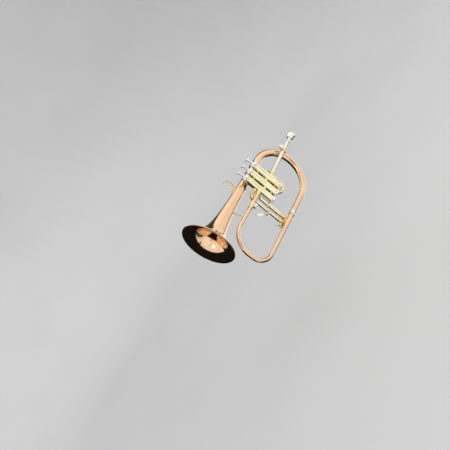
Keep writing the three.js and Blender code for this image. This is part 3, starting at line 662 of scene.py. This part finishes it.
def link_shape(low_x, z, radius, bead):
    """A short tube or brace between two casings, with a bead in its middle."""
    start, end = low_x + SADDLE, low_x + PITCH - SADDLE
    length = end - start
    middle = (start + end) / 2 - start
    outline = [(0, radius), (middle - 1.2, radius), (middle - 0.5, radius + bead),
               (middle + 0.5, radius + bead), (middle + 1.2, radius), (length, radius)]
    points, faces = pipe(Route(start, z).run(length), Plane((0, 0, 0), X, Z), soften(outline, 0.3), 0.6,
                         sides=32, saddle=SADDLE)
    axis = low_x + PITCH
    for i, p in enumerate(points):
        if abs(p.x - end) < 0.01:
            width = min(abs(p.y), SADDLE)
            points[i] = Vector((axis - math.sqrt(SADDLE**2 - width**2), p.y, p.z))
    return points, faces


def build_links():
    for pair, low_x, crossing_z in (("12", -PITCH, -5.0), ("23", 0.0, -13.0)):
        links = (("crossover_tube", "crossover", crossing_z, 5.0, 0.6),
                 ("upper_brace", "upper_casing_brace", 27, 2.0, 1.0),
                 ("lower_brace", "lower_casing_brace", -36, 2.0, 1.0))
        for name, node_name, z, radius, bead in links:
            piece(f"{name}_{pair}", "horn", YELLOW, [link_shape(low_x, z, radius, bead)],
                  [f"{node_name}_{pair}"])


# ---------- mouthpipe and mouthpiece ----------
PIPE_DIRECTION = Vector((-math.cos(PIPE_RISE), 0, math.sin(PIPE_RISE)))
PIPE_UP = Vector((math.sin(PIPE_RISE), 0, math.cos(PIPE_RISE)))
PIPE_ORIGIN = Vector((-PITCH, 0, PIPE_Z))
PIPE_PLANE = Plane(PIPE_ORIGIN, PIPE_DIRECTION, PIPE_UP)


def on_pipe(along, up=0.0, left=0.0):
    """A point by the mouthpipe's axis."""
    return PIPE_ORIGIN + PIPE_DIRECTION * along + PIPE_UP * up + Y * left


def build_mouthpipe():
    tube = Route(SADDLE).run(119.5 - SADDLE)
    stop_ring = (107.5, 109.6, 6.1)
    piece("mouthpipe_wall", "horn", NICKEL,
          [plain_pipe(tube, PIPE_PLANE, 5.75, 5.35, SADDLE, [stop_ring])], ["mouthpipe"])
    knuckle = Route(SADDLE).run(11)
    outline = [(0, 7.2), (2.4, 6.9), (4, 6.25), (9, 6.2), (9.3, 6.7), (10.7, 6.7), (11, 6.0)]
    piece("mouthpipe_knuckle", "horn", YELLOW,
          [pipe(knuckle, PIPE_PLANE, soften(outline, 0.5), 5.8, sides=48, saddle=SADDLE)])
    receiver = Route(90).run(72)
    outer = [(0, 5.05), (58, 5.05), (59.5, 5.6), (61, 6.4), (65.5, 6.4), (66, 6.0), (67.5, 6.0),
             (68, 6.4), (72, 6.4)]
    piece("tuning_pipe_wall", "tuning_pipe", NICKEL,
          [pipe(receiver, PIPE_PLANE, soften(outer, 0.5), 4.6)], ["tuning_pipe"])
    build_clamp()
    build_mouthpiece()


def build_clamp():
    """A split collar with two ears, and a thumb screw across them."""
    middle, screw = 115.5, 15.0
    collar = Route(108.5).run(10)
    outline = [(0, 6.6), (0, 7.6), (1.8, 7.6), (2.2, 7.1), (7.8, 7.1), (8.2, 7.6), (10, 7.6), (10, 6.6)]
    shapes = [pipe(collar, PIPE_PLANE, soften(outline, 0.5), 6.1, sides=48)]
    tilt = Matrix.Rotation(-PIPE_RISE, 4, "Y")
    for side in (-1, 1):
        shapes.append(block((5.2, 2.4, 10.9), on_pipe(middle, 12.0, side * 2.1), 0.8, tilt))
    shapes += [bar(on_pipe(middle, -6.6), on_pipe(middle, -10.0), 2.4, 24),
               bar(on_pipe(middle, -9.8), on_pipe(middle, -10.4), 1.7, 24)]
    piece("clamp_collar_split", "horn", YELLOW, shapes, ["clamp_collar"])
    rim = [(6.6, 4.2), (6.7, 6.4), (7.2, 7.0), (8.2, 7.0), (8.8, 6.5), (8.8, 5.6), (8.2, 5.0), (7.5, 3.4),
           (7.3, 0.5)]
    origin = on_pipe(middle, screw)
    shapes = [
        turned([(-5.0, 1.0), (-4.8, 2.3), (-3.9, 2.3), (-3.7, 1.4), (6.9, 1.4)], origin, Y, 24, 0.2),
        turned([(3.8, 2.0), (4.2, 2.3), (6.7, 2.5)], origin, Y, 24, 0.2),
        turned(rim, origin, Y, 80, 0.3),
    ]
    piece("clamp_thumb_screw", "clamp_screw", SILVER, shapes, ["clamp_screw"], 30)


def build_mouthpiece():
    """Shank, backbore, deep cup and rim in one piece, by places along the mouthpipe's axis."""
    outer = [(143, 3.9), (162, 4.2), (163.6, 4.5), (164.1, 5.2), (164.4, 6.2), (165.2, 6.3), (165.5, 6.0),
             (166.1, 7.2), (167.5, 9.0), (169.8, 10.6), (173, 11.6), (176, 12.0), (177.2, 12.4),
             (178, 13.2), (180, 13.2), (181.1, 12.7), (MOUTHPIECE_RIM, 11.6), (181.2, 10.2), (180.3, 9.1)]
    inner = [(143, 3.2), (157.5, 2.1), (162, 2.4), (164.6, 4.0), (167, 5.4), (170.5, 6.9), (174, 7.8),
             (178, 8.2), (179.6, 8.5)]
    line = Route().run(MOUTHPIECE_RIM)
    rings = [PIPE_PLANE.ring(line, s, r) for s, r in [*outer, *inner[::-1]]]
    piece("mouthpiece_turned", "mouthpiece", SILVER, [loft(rings, 72, closed=True)], ["mouthpiece"], 32)


# ---------- slides ----------


def leg_route(valve_x, foot_x, foot_y, port_z, elbow, end_z):
    """Out of a valve, round an elbow and down, with the plane that it lies in."""
    reach = Vector((foot_x - valve_x, foot_y, 0))
    route = Route(SADDLE, port_z, 0).run(reach.length - elbow - SADDLE).bend(elbow, -90)
    return route.run(port_z - elbow - end_z), Plane((valve_x, 0, 0), reach, Z)


def elbow_and_leg(name, leg, split_z):
    """A brass elbow and a nickel leg, with a ring where they meet and a collar at the foot."""
    route, plane = leg
    wide, tight = LEG_OUTER + 0.8, LEG_OUTER + 0.15
    tries = [i * 0.25 for i in range(int(route.length * 4))]
    joint = next(s for s in tries if s > route.length / 8 and route.at(s)[1] < split_z)
    outline = [(0, LEG_OUTER + 1.3), (1.6, LEG_OUTER + 0.9), (3, tight), (joint - 3, tight),
               (joint - 2.8, wide), (joint - 0.2, wide), (joint, LEG_OUTER + 0.1)]
    piece(f"{name}_elbow", "horn", YELLOW,
          [pipe(route, plane, soften(outline, 0.4), LEG_BORE, 1.2, 36, SADDLE)])
    x, y, _ = route.at(joint)
    straight = Route(x, y, -90).run(route.length - joint)
    length = straight.length
    outline = [(0, LEG_OUTER), (length - 6, LEG_OUTER), (length - 5.8, LEG_OUTER + 0.4),
               (length - 5.2, LEG_OUTER + 0.4), (length - 5, LEG_COLLAR), (length - 0.3, LEG_COLLAR),
               (length, LEG_COLLAR - 0.5)]
    piece(f"{name}_tube", "horn", NICKEL,
          [pipe(straight, plane, soften(outline, 0.3), LEG_BORE, sides=36)], [f"{name}_leg"])


def slide_crook(plane, half, top, shoulder, centre):
    """The moving U: thin legs, a beaded shoulder on each side and a round bow."""
    route = Route(-half, top, -90).run(top - centre).bend(half, 180).run(top - centre)
    length = route.length
    hidden = top - shoulder
    side = [(0, LEG_INNER), (hidden, LEG_INNER), (hidden, 5.7), (hidden + 1.6, 5.7), (hidden + 1.9, 5.1),
            (hidden + 5.5, 5.1), (hidden + 5.8, 5.5), (hidden + 6.8, 5.5), (hidden + 7, LEG_BOW)]
    outer = [*side, *[(length - s, r) for s, r in side[::-1]]]
    return pipe(route, plane, soften(outer, 0.3), LEG_INNER - WALL, 1.0)


def build_first_slide():
    side, foot = -20, -40
    rear, front = -55.8, -20.6
    for name, foot_x, port_z, elbow in (("rear", rear, 6, 10), ("front", front, -10, 9)):
        leg = leg_route(-PITCH, foot_x, side, port_z, elbow, foot)
        elbow_and_leg(f"first_slide_{name}", leg, port_z - elbow - 4)
    plane = Plane(((rear + front) / 2, side, 0), X, Z)
    piece("first_slide_crook", "first_slide", YELLOW,
          [slide_crook(plane, (front - rear) / 2, -20.5, foot - 0.3, -52)], ["first_slide_bow"])


def build_second_slide():
    level, foot, bow_centre = -13, 27, -34.5
    span = Vector((8, 0, -20))
    for name, side in (("upper", -1), ("lower", 1)):
        x, z = side * span.x / 2, level + side * span.z / 2
        start = math.sqrt(SADDLE**2 - x**2)
        route = Route(start).run(foot - start)
        collar = (route.length - 5, route.length, LEG_COLLAR)
        piece(f"second_slide_{name}_tube", "horn", NICKEL,
              [plain_pipe(route, Plane((x, 0, z), -Y, Z), LEG_OUTER, LEG_BORE, 0, [collar])],
              [f"second_slide_{name}_leg"])
    half = span.length / 2
    piece("second_slide_crook", "second_slide", YELLOW,
          [slide_crook(Plane((0, 0, level), span, Y), half, -14, -foot - 0.3, bow_centre)],
          ["second_slide_bow"])
    knob_base = bow_centre - half - LEG_BOW + 2.1
    knob = [(0, 2.4), (1.6, 2.0), (3.2, 2.2), (4.2, 3.7), (5.2, 4.0), (6.1, 3.6), (6.6, 2.2), (6.8, 0.4)]
    piece("second_slide_pull_knob", "second_slide", NICKEL,
          [turned(knob, (0, knob_base, level), -Y, 40, 0.3)], ["second_slide_knob"])


def build_third_slide():
    front_leg = leg_route(PITCH, THIRD_FRONT, THIRD_Y, 8.5, 12, THIRD_FOOT)
    elbow_and_leg("third_slide_front", front_leg, -7)
    route, plane = leg_route(PITCH, THIRD_REAR, THIRD_Y, -17.5, 6.5, THIRD_FOOT)
    length = route.length
    outer = [(0, 6.4), (1.4, 6.0), (2.8, 5.3), (length - 47, 5.3), (length - 46.8, 6.2),
             (length - 42.4, 6.2), (length - 42, 5.7), (length - 5.4, 5.7), (length - 5.1, 6.3),
             (length - 0.4, 6.3), (length, 5.9)]
    piece("third_slide_rear_tube", "horn", NICKEL,
          [pipe(route, plane, soften(outer, 0.35), LEG_BORE, 1.0, 40, SADDLE)], ["third_slide_rear_leg"])
    ring = [(-52, 6.25), (-51.8, 6.5), (-47.2, 6.5), (-47, 6.25)]
    piece("third_slide_sleeve_ring", "horn", YELLOW,
          [hollow_turned(ring, [(-52, 5.9), (-47, 5.9)], (THIRD_REAR, THIRD_Y, 0))])
    plane = Plane(((THIRD_REAR + THIRD_FRONT) / 2, THIRD_Y, 0), X, Z)
    half = (THIRD_FRONT - THIRD_REAR) / 2
    piece("third_slide_crook", "third_slide", YELLOW,
          [slide_crook(plane, half, -66, THIRD_FOOT - 0.3, -110)], ["third_slide_bow"])
    brace = [(0, 2.9), (0.8, 2.6), (1.6, 1.7), (3.4, 1.5), (5.0, 1.8), (5.5, 2.8), (6.6, 3.1)]
    piece("third_slide_cross_brace", "horn", YELLOW,
          [turned(brace, (THIRD_REAR + 6.0, THIRD_Y, -50), X, 32, 0.3)], ["third_slide_brace"])


# ---------- trigger and water key ----------
# The trigger turns on a pivot, and the tip of its short arm pushes the rod.
PIVOT = Vector((70.5, THIRD_Y, -60.0))
LINK_Y = -3.6
ARM_REACH, ARM_RISE = 12.6, 4.5
LEVER_TIP = Vector((PIVOT.x - math.sqrt(ARM_REACH**2 - ARM_RISE**2), LINK_Y, PIVOT.z + ARM_RISE))
PAD_PLACE = PIVOT + Vector((15.5, 1.5, 18.0))
PAD_ALONG, PAD_FRONT = Vector((0.508, -0.334, 0.795)), Vector((0.548, 0.836, 0.0))


def trigger_pad():
    """An oval finger pad with its ends bent forward, facing the player's left hand."""
    centre = PAD_PLACE
    along, front = PAD_ALONG.normalized(), PAD_FRONT.normalized()
    across = along.cross(front)
    sides, half_length, half_width, bend = 56, 11.0, 4.6, 1.2
    layers = [(0.3, 0.15), (0.6, 0.1), (0.85, 0.12), (0.95, 0.2), (1.0, -0.2), (1.0, -1.2), (0.96, -1.6),
              (0.6, -1.7), (0.3, -1.7)]
    points, faces = [], []
    for share, height in layers:
        for i in range(sides):
            angle = 2 * math.pi * i / sides
            reach = share * math.cos(angle)
            points.append(centre + along * (half_length * reach)
                          + across * (half_width * share * math.sin(angle))
                          + front * (height + bend * reach**2))
    count = len(layers)
    for j in range(count - 1):
        for i in range(sides):
            k = (i + 1) % sides
            faces.append((j * sides + i, (j + 1) * sides + i, (j + 1) * sides + k, j * sides + k))
    faces.append(tuple(range(sides)))
    faces.append(tuple(reversed(range((count - 1) * sides, count * sides))))
    return points, faces


def build_trigger():
    x, _, z = PIVOT
    post_y = THIRD_Y - 1.5
    bends = [(THIRD_FRONT + 5.4, post_y, -41.2), (64.6, post_y, -46), (67.6, post_y, -53.2)]
    shapes = [
        wire([*bends, (x, post_y, z)], 0.9),
        foot_plate((THIRD_FRONT + 5.0, post_y, -41.2), X, 4.2, 2.0, Z),
        bar((x, THIRD_Y - 2.4, z), (x, THIRD_Y, z), 2.0, 28),
        bar((x, THIRD_Y - 1, z), (x, LINK_Y + 2.2, z), 1.0),
        turned([(0, 1.9), (0.9, 1.9), (1.3, 1.3)], (x, LINK_Y + 1.4, z), Y, 28, 0.2),
    ]
    piece("trigger_post", "horn", YELLOW, shapes, ["trigger_bracket"])
    hub_length = LINK_Y + 1 - THIRD_Y - 0.3
    stalk = THIRD_Y + 3
    shapes = [
        hollow_turned([(0, 2.2), (hub_length, 2.2)], [(0, 1.35), (hub_length, 1.35)],
                      (x, THIRD_Y + 0.3, z), Y, 32),
        wire([(x - 1.6, LINK_Y, z + 0.6), (x - 6, LINK_Y, z + 2.4), LEVER_TIP], 1.1),
        turned([(-1, 1.2), (-0.7, 1.6), (0.7, 1.6), (1, 1.2)], LEVER_TIP, Y, 24, 0.2),
        wire([(x + 1.2, stalk, z + 1.2), (x + 6, stalk, z + 7.2), (x + 11.4, stalk - 1, z + 12.8)], 1.3),
        trigger_pad(),
    ]
    piece("trigger_lever_pad", "trigger", NICKEL, shapes, ["trigger_lever"])
    top, rod_x = LEVER_TIP.z - 2.0, LEVER_TIP.x - 0.5
    shapes = [
        wire([(rod_x, LINK_Y, top - 0.8), (55.6, LINK_Y - 0.45, -75), (53.4, LINK_Y - 0.9, -90),
              (51.8, LINK_Y - 2.6, -100), (50, LINK_Y - 4.8, -110)], 1.15),
        turned([(-1.2, 1.9), (-0.3, 1.9), (0, 1.5)], (rod_x, LINK_Y, top), Z, 24, 0.2),
        wire([(50, LINK_Y - 4.8, -109.6), (49.8, -9.1, -112.6), (49.5, -9.4, -114.9)], 1.6),
    ]
    piece("trigger_link_rod", "third_slide", YELLOW, shapes, ["trigger_rod"])


# The water key turns on an arm of its block; its seat closes a hole in the block's face.
KEY_PIVOT = Vector((71.5, THIRD_Y, -107.0))
KEY_FACE = 69.0
KEY_SEAT_Z = -117.5


def build_water_key():
    x, y, z = KEY_PIVOT
    shapes = [
        block((6.3, 4.0, 13.0), (KEY_FACE - 3.15, y, z - 5), 0.9),
        block((3.5, 3.0, 3.4), (x - 1.7, y, z), 0.6),
        bar((x, y - 1.5, z), (x, y + 1.5, z), 1.9, 28),
        turned([(0, 2.4), (0.4, 2.0)], (KEY_FACE - 0.1, y, KEY_SEAT_Z + 1.9), X, 28, 0.1),
        bar((x, y - 4.1, z), (x, y + 4.1, z), 0.8),
    ]
    piece("water_key_post", "third_slide", YELLOW, shapes, ["water_key_saddle"])
    eye, hole = [(-0.7, 2.0), (0.7, 2.0)], [(-0.7, 1.1), (0.7, 1.1)]
    shapes = [hollow_turned(eye, hole, (x, y + side, z), Y, 24, 0.2) for side in (-3, 3)]
    for side in (-3, 3):
        knots = [(x + 1.5, y + side, z + 0.9), (x + 2.6, y + side * 0.7, z + 1.8), (x + 3.2, y, z + 2.2)]
        shapes.append(wire(knots, 0.8))
    seat = [(0, 2.0), (0.3, 2.3), (3.4, 2.3), (4.2, 1.2)]
    shapes += [
        wire([(x + 2.8, y, z + 1.6), (x + 4.8, y, z + 5), (x + 6.6, y, z + 9), (x + 8.2, y, z + 13)],
             1.1, 20),
        wire([(x + 3.2, y, z + 2.2), (x + 3.7, y, z - 3), (x + 2.8, y, z - 7), (x + 1.6, y, z - 9)], 0.9),
        turned(seat, (KEY_FACE + 0.5, y, KEY_SEAT_Z + 1.9), X, 28, 0.2),
    ]
    piece("water_key_arm", "water_key", NICKEL, shapes, ["water_key_lever"])
    turns, per_turn, radius, width = 3, 16, 2.5, 2.4
    coil = []
    for i in range(turns * per_turn + 1):
        angle = 2 * math.pi * i / per_turn
        along = width * i / (turns * per_turn) - width / 2
        coil.append((x + radius * math.cos(angle), y + along, z + radius * math.sin(angle)))
    piece("water_key_coil", "water_key", STEEL, [wire(coil, 0.3, 8, 1)])


# ---------- braces, hook and lyre holder ----------


def foot_plate(centre, normal, long, wide, along):
    """A lens-shaped solder foot that wraps a tube."""
    normal = Vector(normal).normalized()
    along = (Vector(along) - normal * Vector(along).dot(normal)).normalized()
    side = normal.cross(along)
    rings = []
    for height, share in ((-1.6, 1.0), (-0.2, 1.0), (0.5, 0.8), (1.0, 0.45)):
        rings.append((Vector(centre) + normal * height, along * long * share, side * wide * share, 1.0))
    return loft(rings, 40)


def build_finger_hook():
    """The little finger's hook, on a foot plate with a rail that stands on three posts."""
    top, rail = BELL_Z + bell_radius(68), 58.8
    bend = ((62, 1.0), (56.5, 6), (51.8, 14), (51.6, 22), (54.6, 30), (61, 34.6), (69, 35.6))
    shapes = [
        wire([(x, BELL_Y, top + height) for x, height in bend], 1.75, 24),
        foot_plate((68, BELL_Y, top + 0.6), Z, 10.5, 3.6, X),
        turned([(0, 3.0), (1.6, 2.6), (2.6, 1.8)], (61.6, BELL_Y, top + 0.2), (-0.5, 0, 1), 28, 0.3),
        turned([(0, 0.5), (0.5, 1.3), (17, 1.3), (17.5, 0.5)], (58.8, BELL_Y, rail), X, 24, 0.3),
    ]
    shapes += [bar((x, BELL_Y, top + 0.8), (x, BELL_Y, rail), 1.0, 20) for x in (60.5, 67.5, 74.5)]
    piece("little_finger_hook", "horn", YELLOW, shapes, ["finger_hook"])


def build_braces():
    branch_top = EXIT_Z + TAPER_SMALL
    knots = [(126.1, -20.6, 24.0), (126.5, -17.6, 18.5), (127.2, -11.5, 10.5), (127.8, -5.5, 3.6),
             (128.1, -2.8, 0.6)]
    bead = [(0, 1.9), (0.8, 2.7), (1.8, 2.7), (2.6, 1.9)]
    piece("bell_stay", "horn", YELLOW, [wire(knots, 1.95, 20),
           foot_plate((126.4, -19.6, 21.4), (0.15, 0.42, -0.9), 5.6, 3.4, X),
           foot_plate((128.0, -2.9, branch_top - 0.4), (0, -0.5, 0.86), 5.4, 3.2, X),
           turned(bead, (127.0, -12.6, 11.6), (0.1, 0.85, -0.95), 24, 0.3)],
          ["bell_brace"])
    piece("mouthpipe_stay", "horn", YELLOW,
          [wire([(-131.0, -11.9, -11.2), (-128, -9.5, -10.7), (-124.6, -6.7, -10.2)], 1.75, 20),
           foot_plate((-124.2, -6.0, -9.9), (-0.35, -0.93, -0.05), 4.6, 2.6, X)],
          ["mouthpipe_brace"])


def build_lyre_holder():
    """A square socket under the exit tube, with a thumb screw in its side."""
    x, z, length = 80, -15.2, 13
    walls = [block((length, 1.9, 8.6), (x, side * 3.0, z + 1.2), 0.5) for side in (-1, 1)]
    walls.append(block((length, 7.6, 2.2), (x, 0, z + 3.2), 0.5))
    walls.append(block((length, 7.6, 1.6), (x, 0, z - 2.6), 0.4))
    piece("lyre_box", "horn", SILVER, walls, ["lyre_socket"])
    head = [(4.4, 2.0), (4.6, 3.1), (5.1, 3.4), (8.4, 3.4), (9.2, 2.8), (9.5, 0.4)]
    piece("lyre_thumb_screw", "lyre_screw", SILVER,
          [turned([(1.2, 1.1), (4.6, 1.1)], (x, 0, z), Y, 16, 0.1),
           turned(head, (x, 0, z), Y, 48, 0.3, (4.9, 8.5, 0.2))],
          ["lyre_screw"], 30)


def dress_hidden_nodes():
    """Pistons and springs keep their CAD shapes and get finished metal."""
    finishes = {"piston": NICKEL, "valve_spring": STEEL}
    for kept in scene.objects:
        stem = str(kept.get("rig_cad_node", ""))[:-len("_1")]
        if stem in finishes:
            kept.data.materials.clear()
            kept.data.materials.append(finishes[stem][0])


# ---------- studio ----------


CAMERA_PLACE = Vector((0.85323, 1.06727, 0.32102))
CAMERA_RIGHT = Vector((-0.4291, 0.4754, -0.7681))
CAMERA_UP = Vector((-0.7416, 0.3001, 0.6000))


def build_camera():
    """Stands at the player's left by the bell, rolled so the valves lean to the upper left."""
    data = bpy.data.cameras.new("camera")
    data.lens = 40
    data.sensor_width = 36
    data.clip_end = 50
    camera = bpy.data.objects.new("camera", data)
    matrix = Matrix((CAMERA_RIGHT, CAMERA_UP, CAMERA_RIGHT.cross(CAMERA_UP))).transposed().to_4x4()
    matrix.translation = CAMERA_PLACE
    camera.matrix_world = matrix
    scene.collection.objects.link(camera)
    scene.camera = camera


# Soft boxes and dark screens round the horn: direction, full angle, faded angle and brightness.
SURROUND = 0.92
BOX_EDGE = (0.354, 0.224, 0.907)
PATCHES = [
    (BOX_EDGE, 96, 98, 0.25),
    (BOX_EDGE, 86.5, 88.5, 1.0),
    ((-0.61, 0.3, 0.73), 26, 50, 1.2),
    ((-0.61, 0.79, -0.05), 22, 42, 1.02),
    ((-0.1, 0.1, -1.0), 28, 42, 0.05),
    ((0.1, -0.95, -0.3), 50, 56, 0.04),
    ((0.81, -0.56, -0.17), 49, 54, 0.01),
    ((0.2, 0.96, 0.17), 12, 16, 0.03),
    ((0.64, 0.37, 0.67), 9, 12, 1.9),
    ((-0.85, -0.4, 0.34), 18, 26, 0.06),
    ((-0.98, 0, -0.1), 14, 26, 1.1),
    ((-0.61, -0.72, -0.33), 22, 32, 0.07),
    ((-0.75, -0.38, -0.55), 16, 30, 1.15),
    ((0.55, 0.8, -0.22), 20, 32, 1.12),
]


def build_world():
    """A surround of soft patches of light and shade, for the metal to mirror."""
    world = bpy.data.worlds.new("studio")
    scene.world = world
    world.use_nodes = True
    tree = world.node_tree
    tree.nodes.clear()
    direction = node(tree, "ShaderNodeTexCoord", (-1400, 0)).outputs["Generated"]
    level = node(tree, "ShaderNodeValue", (-1200, 300)).outputs[0]
    level.default_value = SURROUND
    for index, (axis, full, faded, brightness) in enumerate(PATCHES):
        place = 180 * index - 1200
        dot = node(tree, "ShaderNodeVectorMath", (place, 0), operation="DOT_PRODUCT")
        tree.links.new(direction, dot.inputs[0])
        dot.inputs[1].default_value = Vector(axis).normalized()
        cover = node(tree, "ShaderNodeMapRange", (place, -200), interpolation_type="SMOOTHSTEP",
                     From_Min=math.cos(math.radians(faded)), From_Max=math.cos(math.radians(full)))
        tree.links.new(dot.outputs["Value"], cover.inputs["Value"])
        mix = node(tree, "ShaderNodeMix", (place + 130, 200), data_type="FLOAT")
        tree.links.new(cover.outputs["Result"], mix.inputs[0])
        tree.links.new(level, mix.inputs[2])
        mix.inputs[3].default_value = brightness
        level = mix.outputs[0]
    surround = node(tree, "ShaderNodeBackground", (500, 0))
    tree.links.new(level, surround.inputs["Color"])
    output = node(tree, "ShaderNodeOutputWorld", (700, 0))
    tree.links.new(surround.outputs["Background"], output.inputs["Surface"])


def add_light(name, place, size, power):
    """A soft light that faces the part and isn't mirrored in it."""
    data = bpy.data.lights.new(name, "AREA")
    data.shape = "RECTANGLE"
    data.size, data.size_y = size
    data.energy = power
    light = bpy.data.objects.new(name, data)
    light.location = place
    light.rotation_mode = "QUATERNION"
    light.rotation_quaternion = (-place).to_track_quat("-Z", "Y")
    light.visible_camera = False
    light.visible_glossy = False
    scene.collection.objects.link(light)


def build_stage():
    """A pale round floor that sweeps up into a wall, seen by the camera only."""
    reach, wall, height, floor, sides = 2.0, 3.4, 4.5, -0.42, 96
    bend = wall - reach
    profile = [(0.02, floor), (1.0, floor), (reach, floor)]
    for step in range(1, 17):
        angle = math.radians(90 * step / 16)
        profile.append((reach + bend * math.sin(angle), floor + bend * (1 - math.cos(angle))))
    profile.append((wall, height))
    rings = [(Vector((0, 0, z)), X, Y, r) for r, z in profile]
    points, faces = loft(rings, sides)
    mesh = bpy.data.meshes.new("floor")
    mesh.from_pydata(points, [], faces[:-1])
    mesh.shade_smooth()
    made, tree, shader, coordinates = new_material("floor_paint")
    clouds = noise(tree, coordinates, 2.0, 2.0, (-900, 0))
    stops = [(0.3, (0.57, 0.57, 0.57, 1)), (0.7, (0.59, 0.59, 0.59, 1))]
    tree.links.new(ramp(tree, clouds, stops, (-600, 0)), shader.inputs["Base Color"])
    shader.inputs["Roughness"].default_value = 0.95
    mesh.materials.append(made)
    floor_object = bpy.data.objects.new("floor", mesh)
    scene.collection.objects.link(floor_object)
    for ray in ("glossy", "diffuse", "shadow"):
        setattr(floor_object, f"visible_{ray}", False)


def build_studio():
    build_camera()
    build_world()
    build_stage()
    add_light("key", Vector((-0.8, 1.4, 1.5)), (2.2, 2.2), 16)
    add_light("fill", Vector((1.5, 1.2, 0.2)), (1.4, 1.4), 6)
    scene.view_settings.view_transform = "Standard"


build_studio()
build_main_tube()
build_valves()
build_links()
build_mouthpipe()
build_first_slide()
build_second_slide()
build_third_slide()
build_trigger()
build_water_key()
build_finger_hook()
build_braces()
build_lyre_holder()
dress_hidden_nodes()
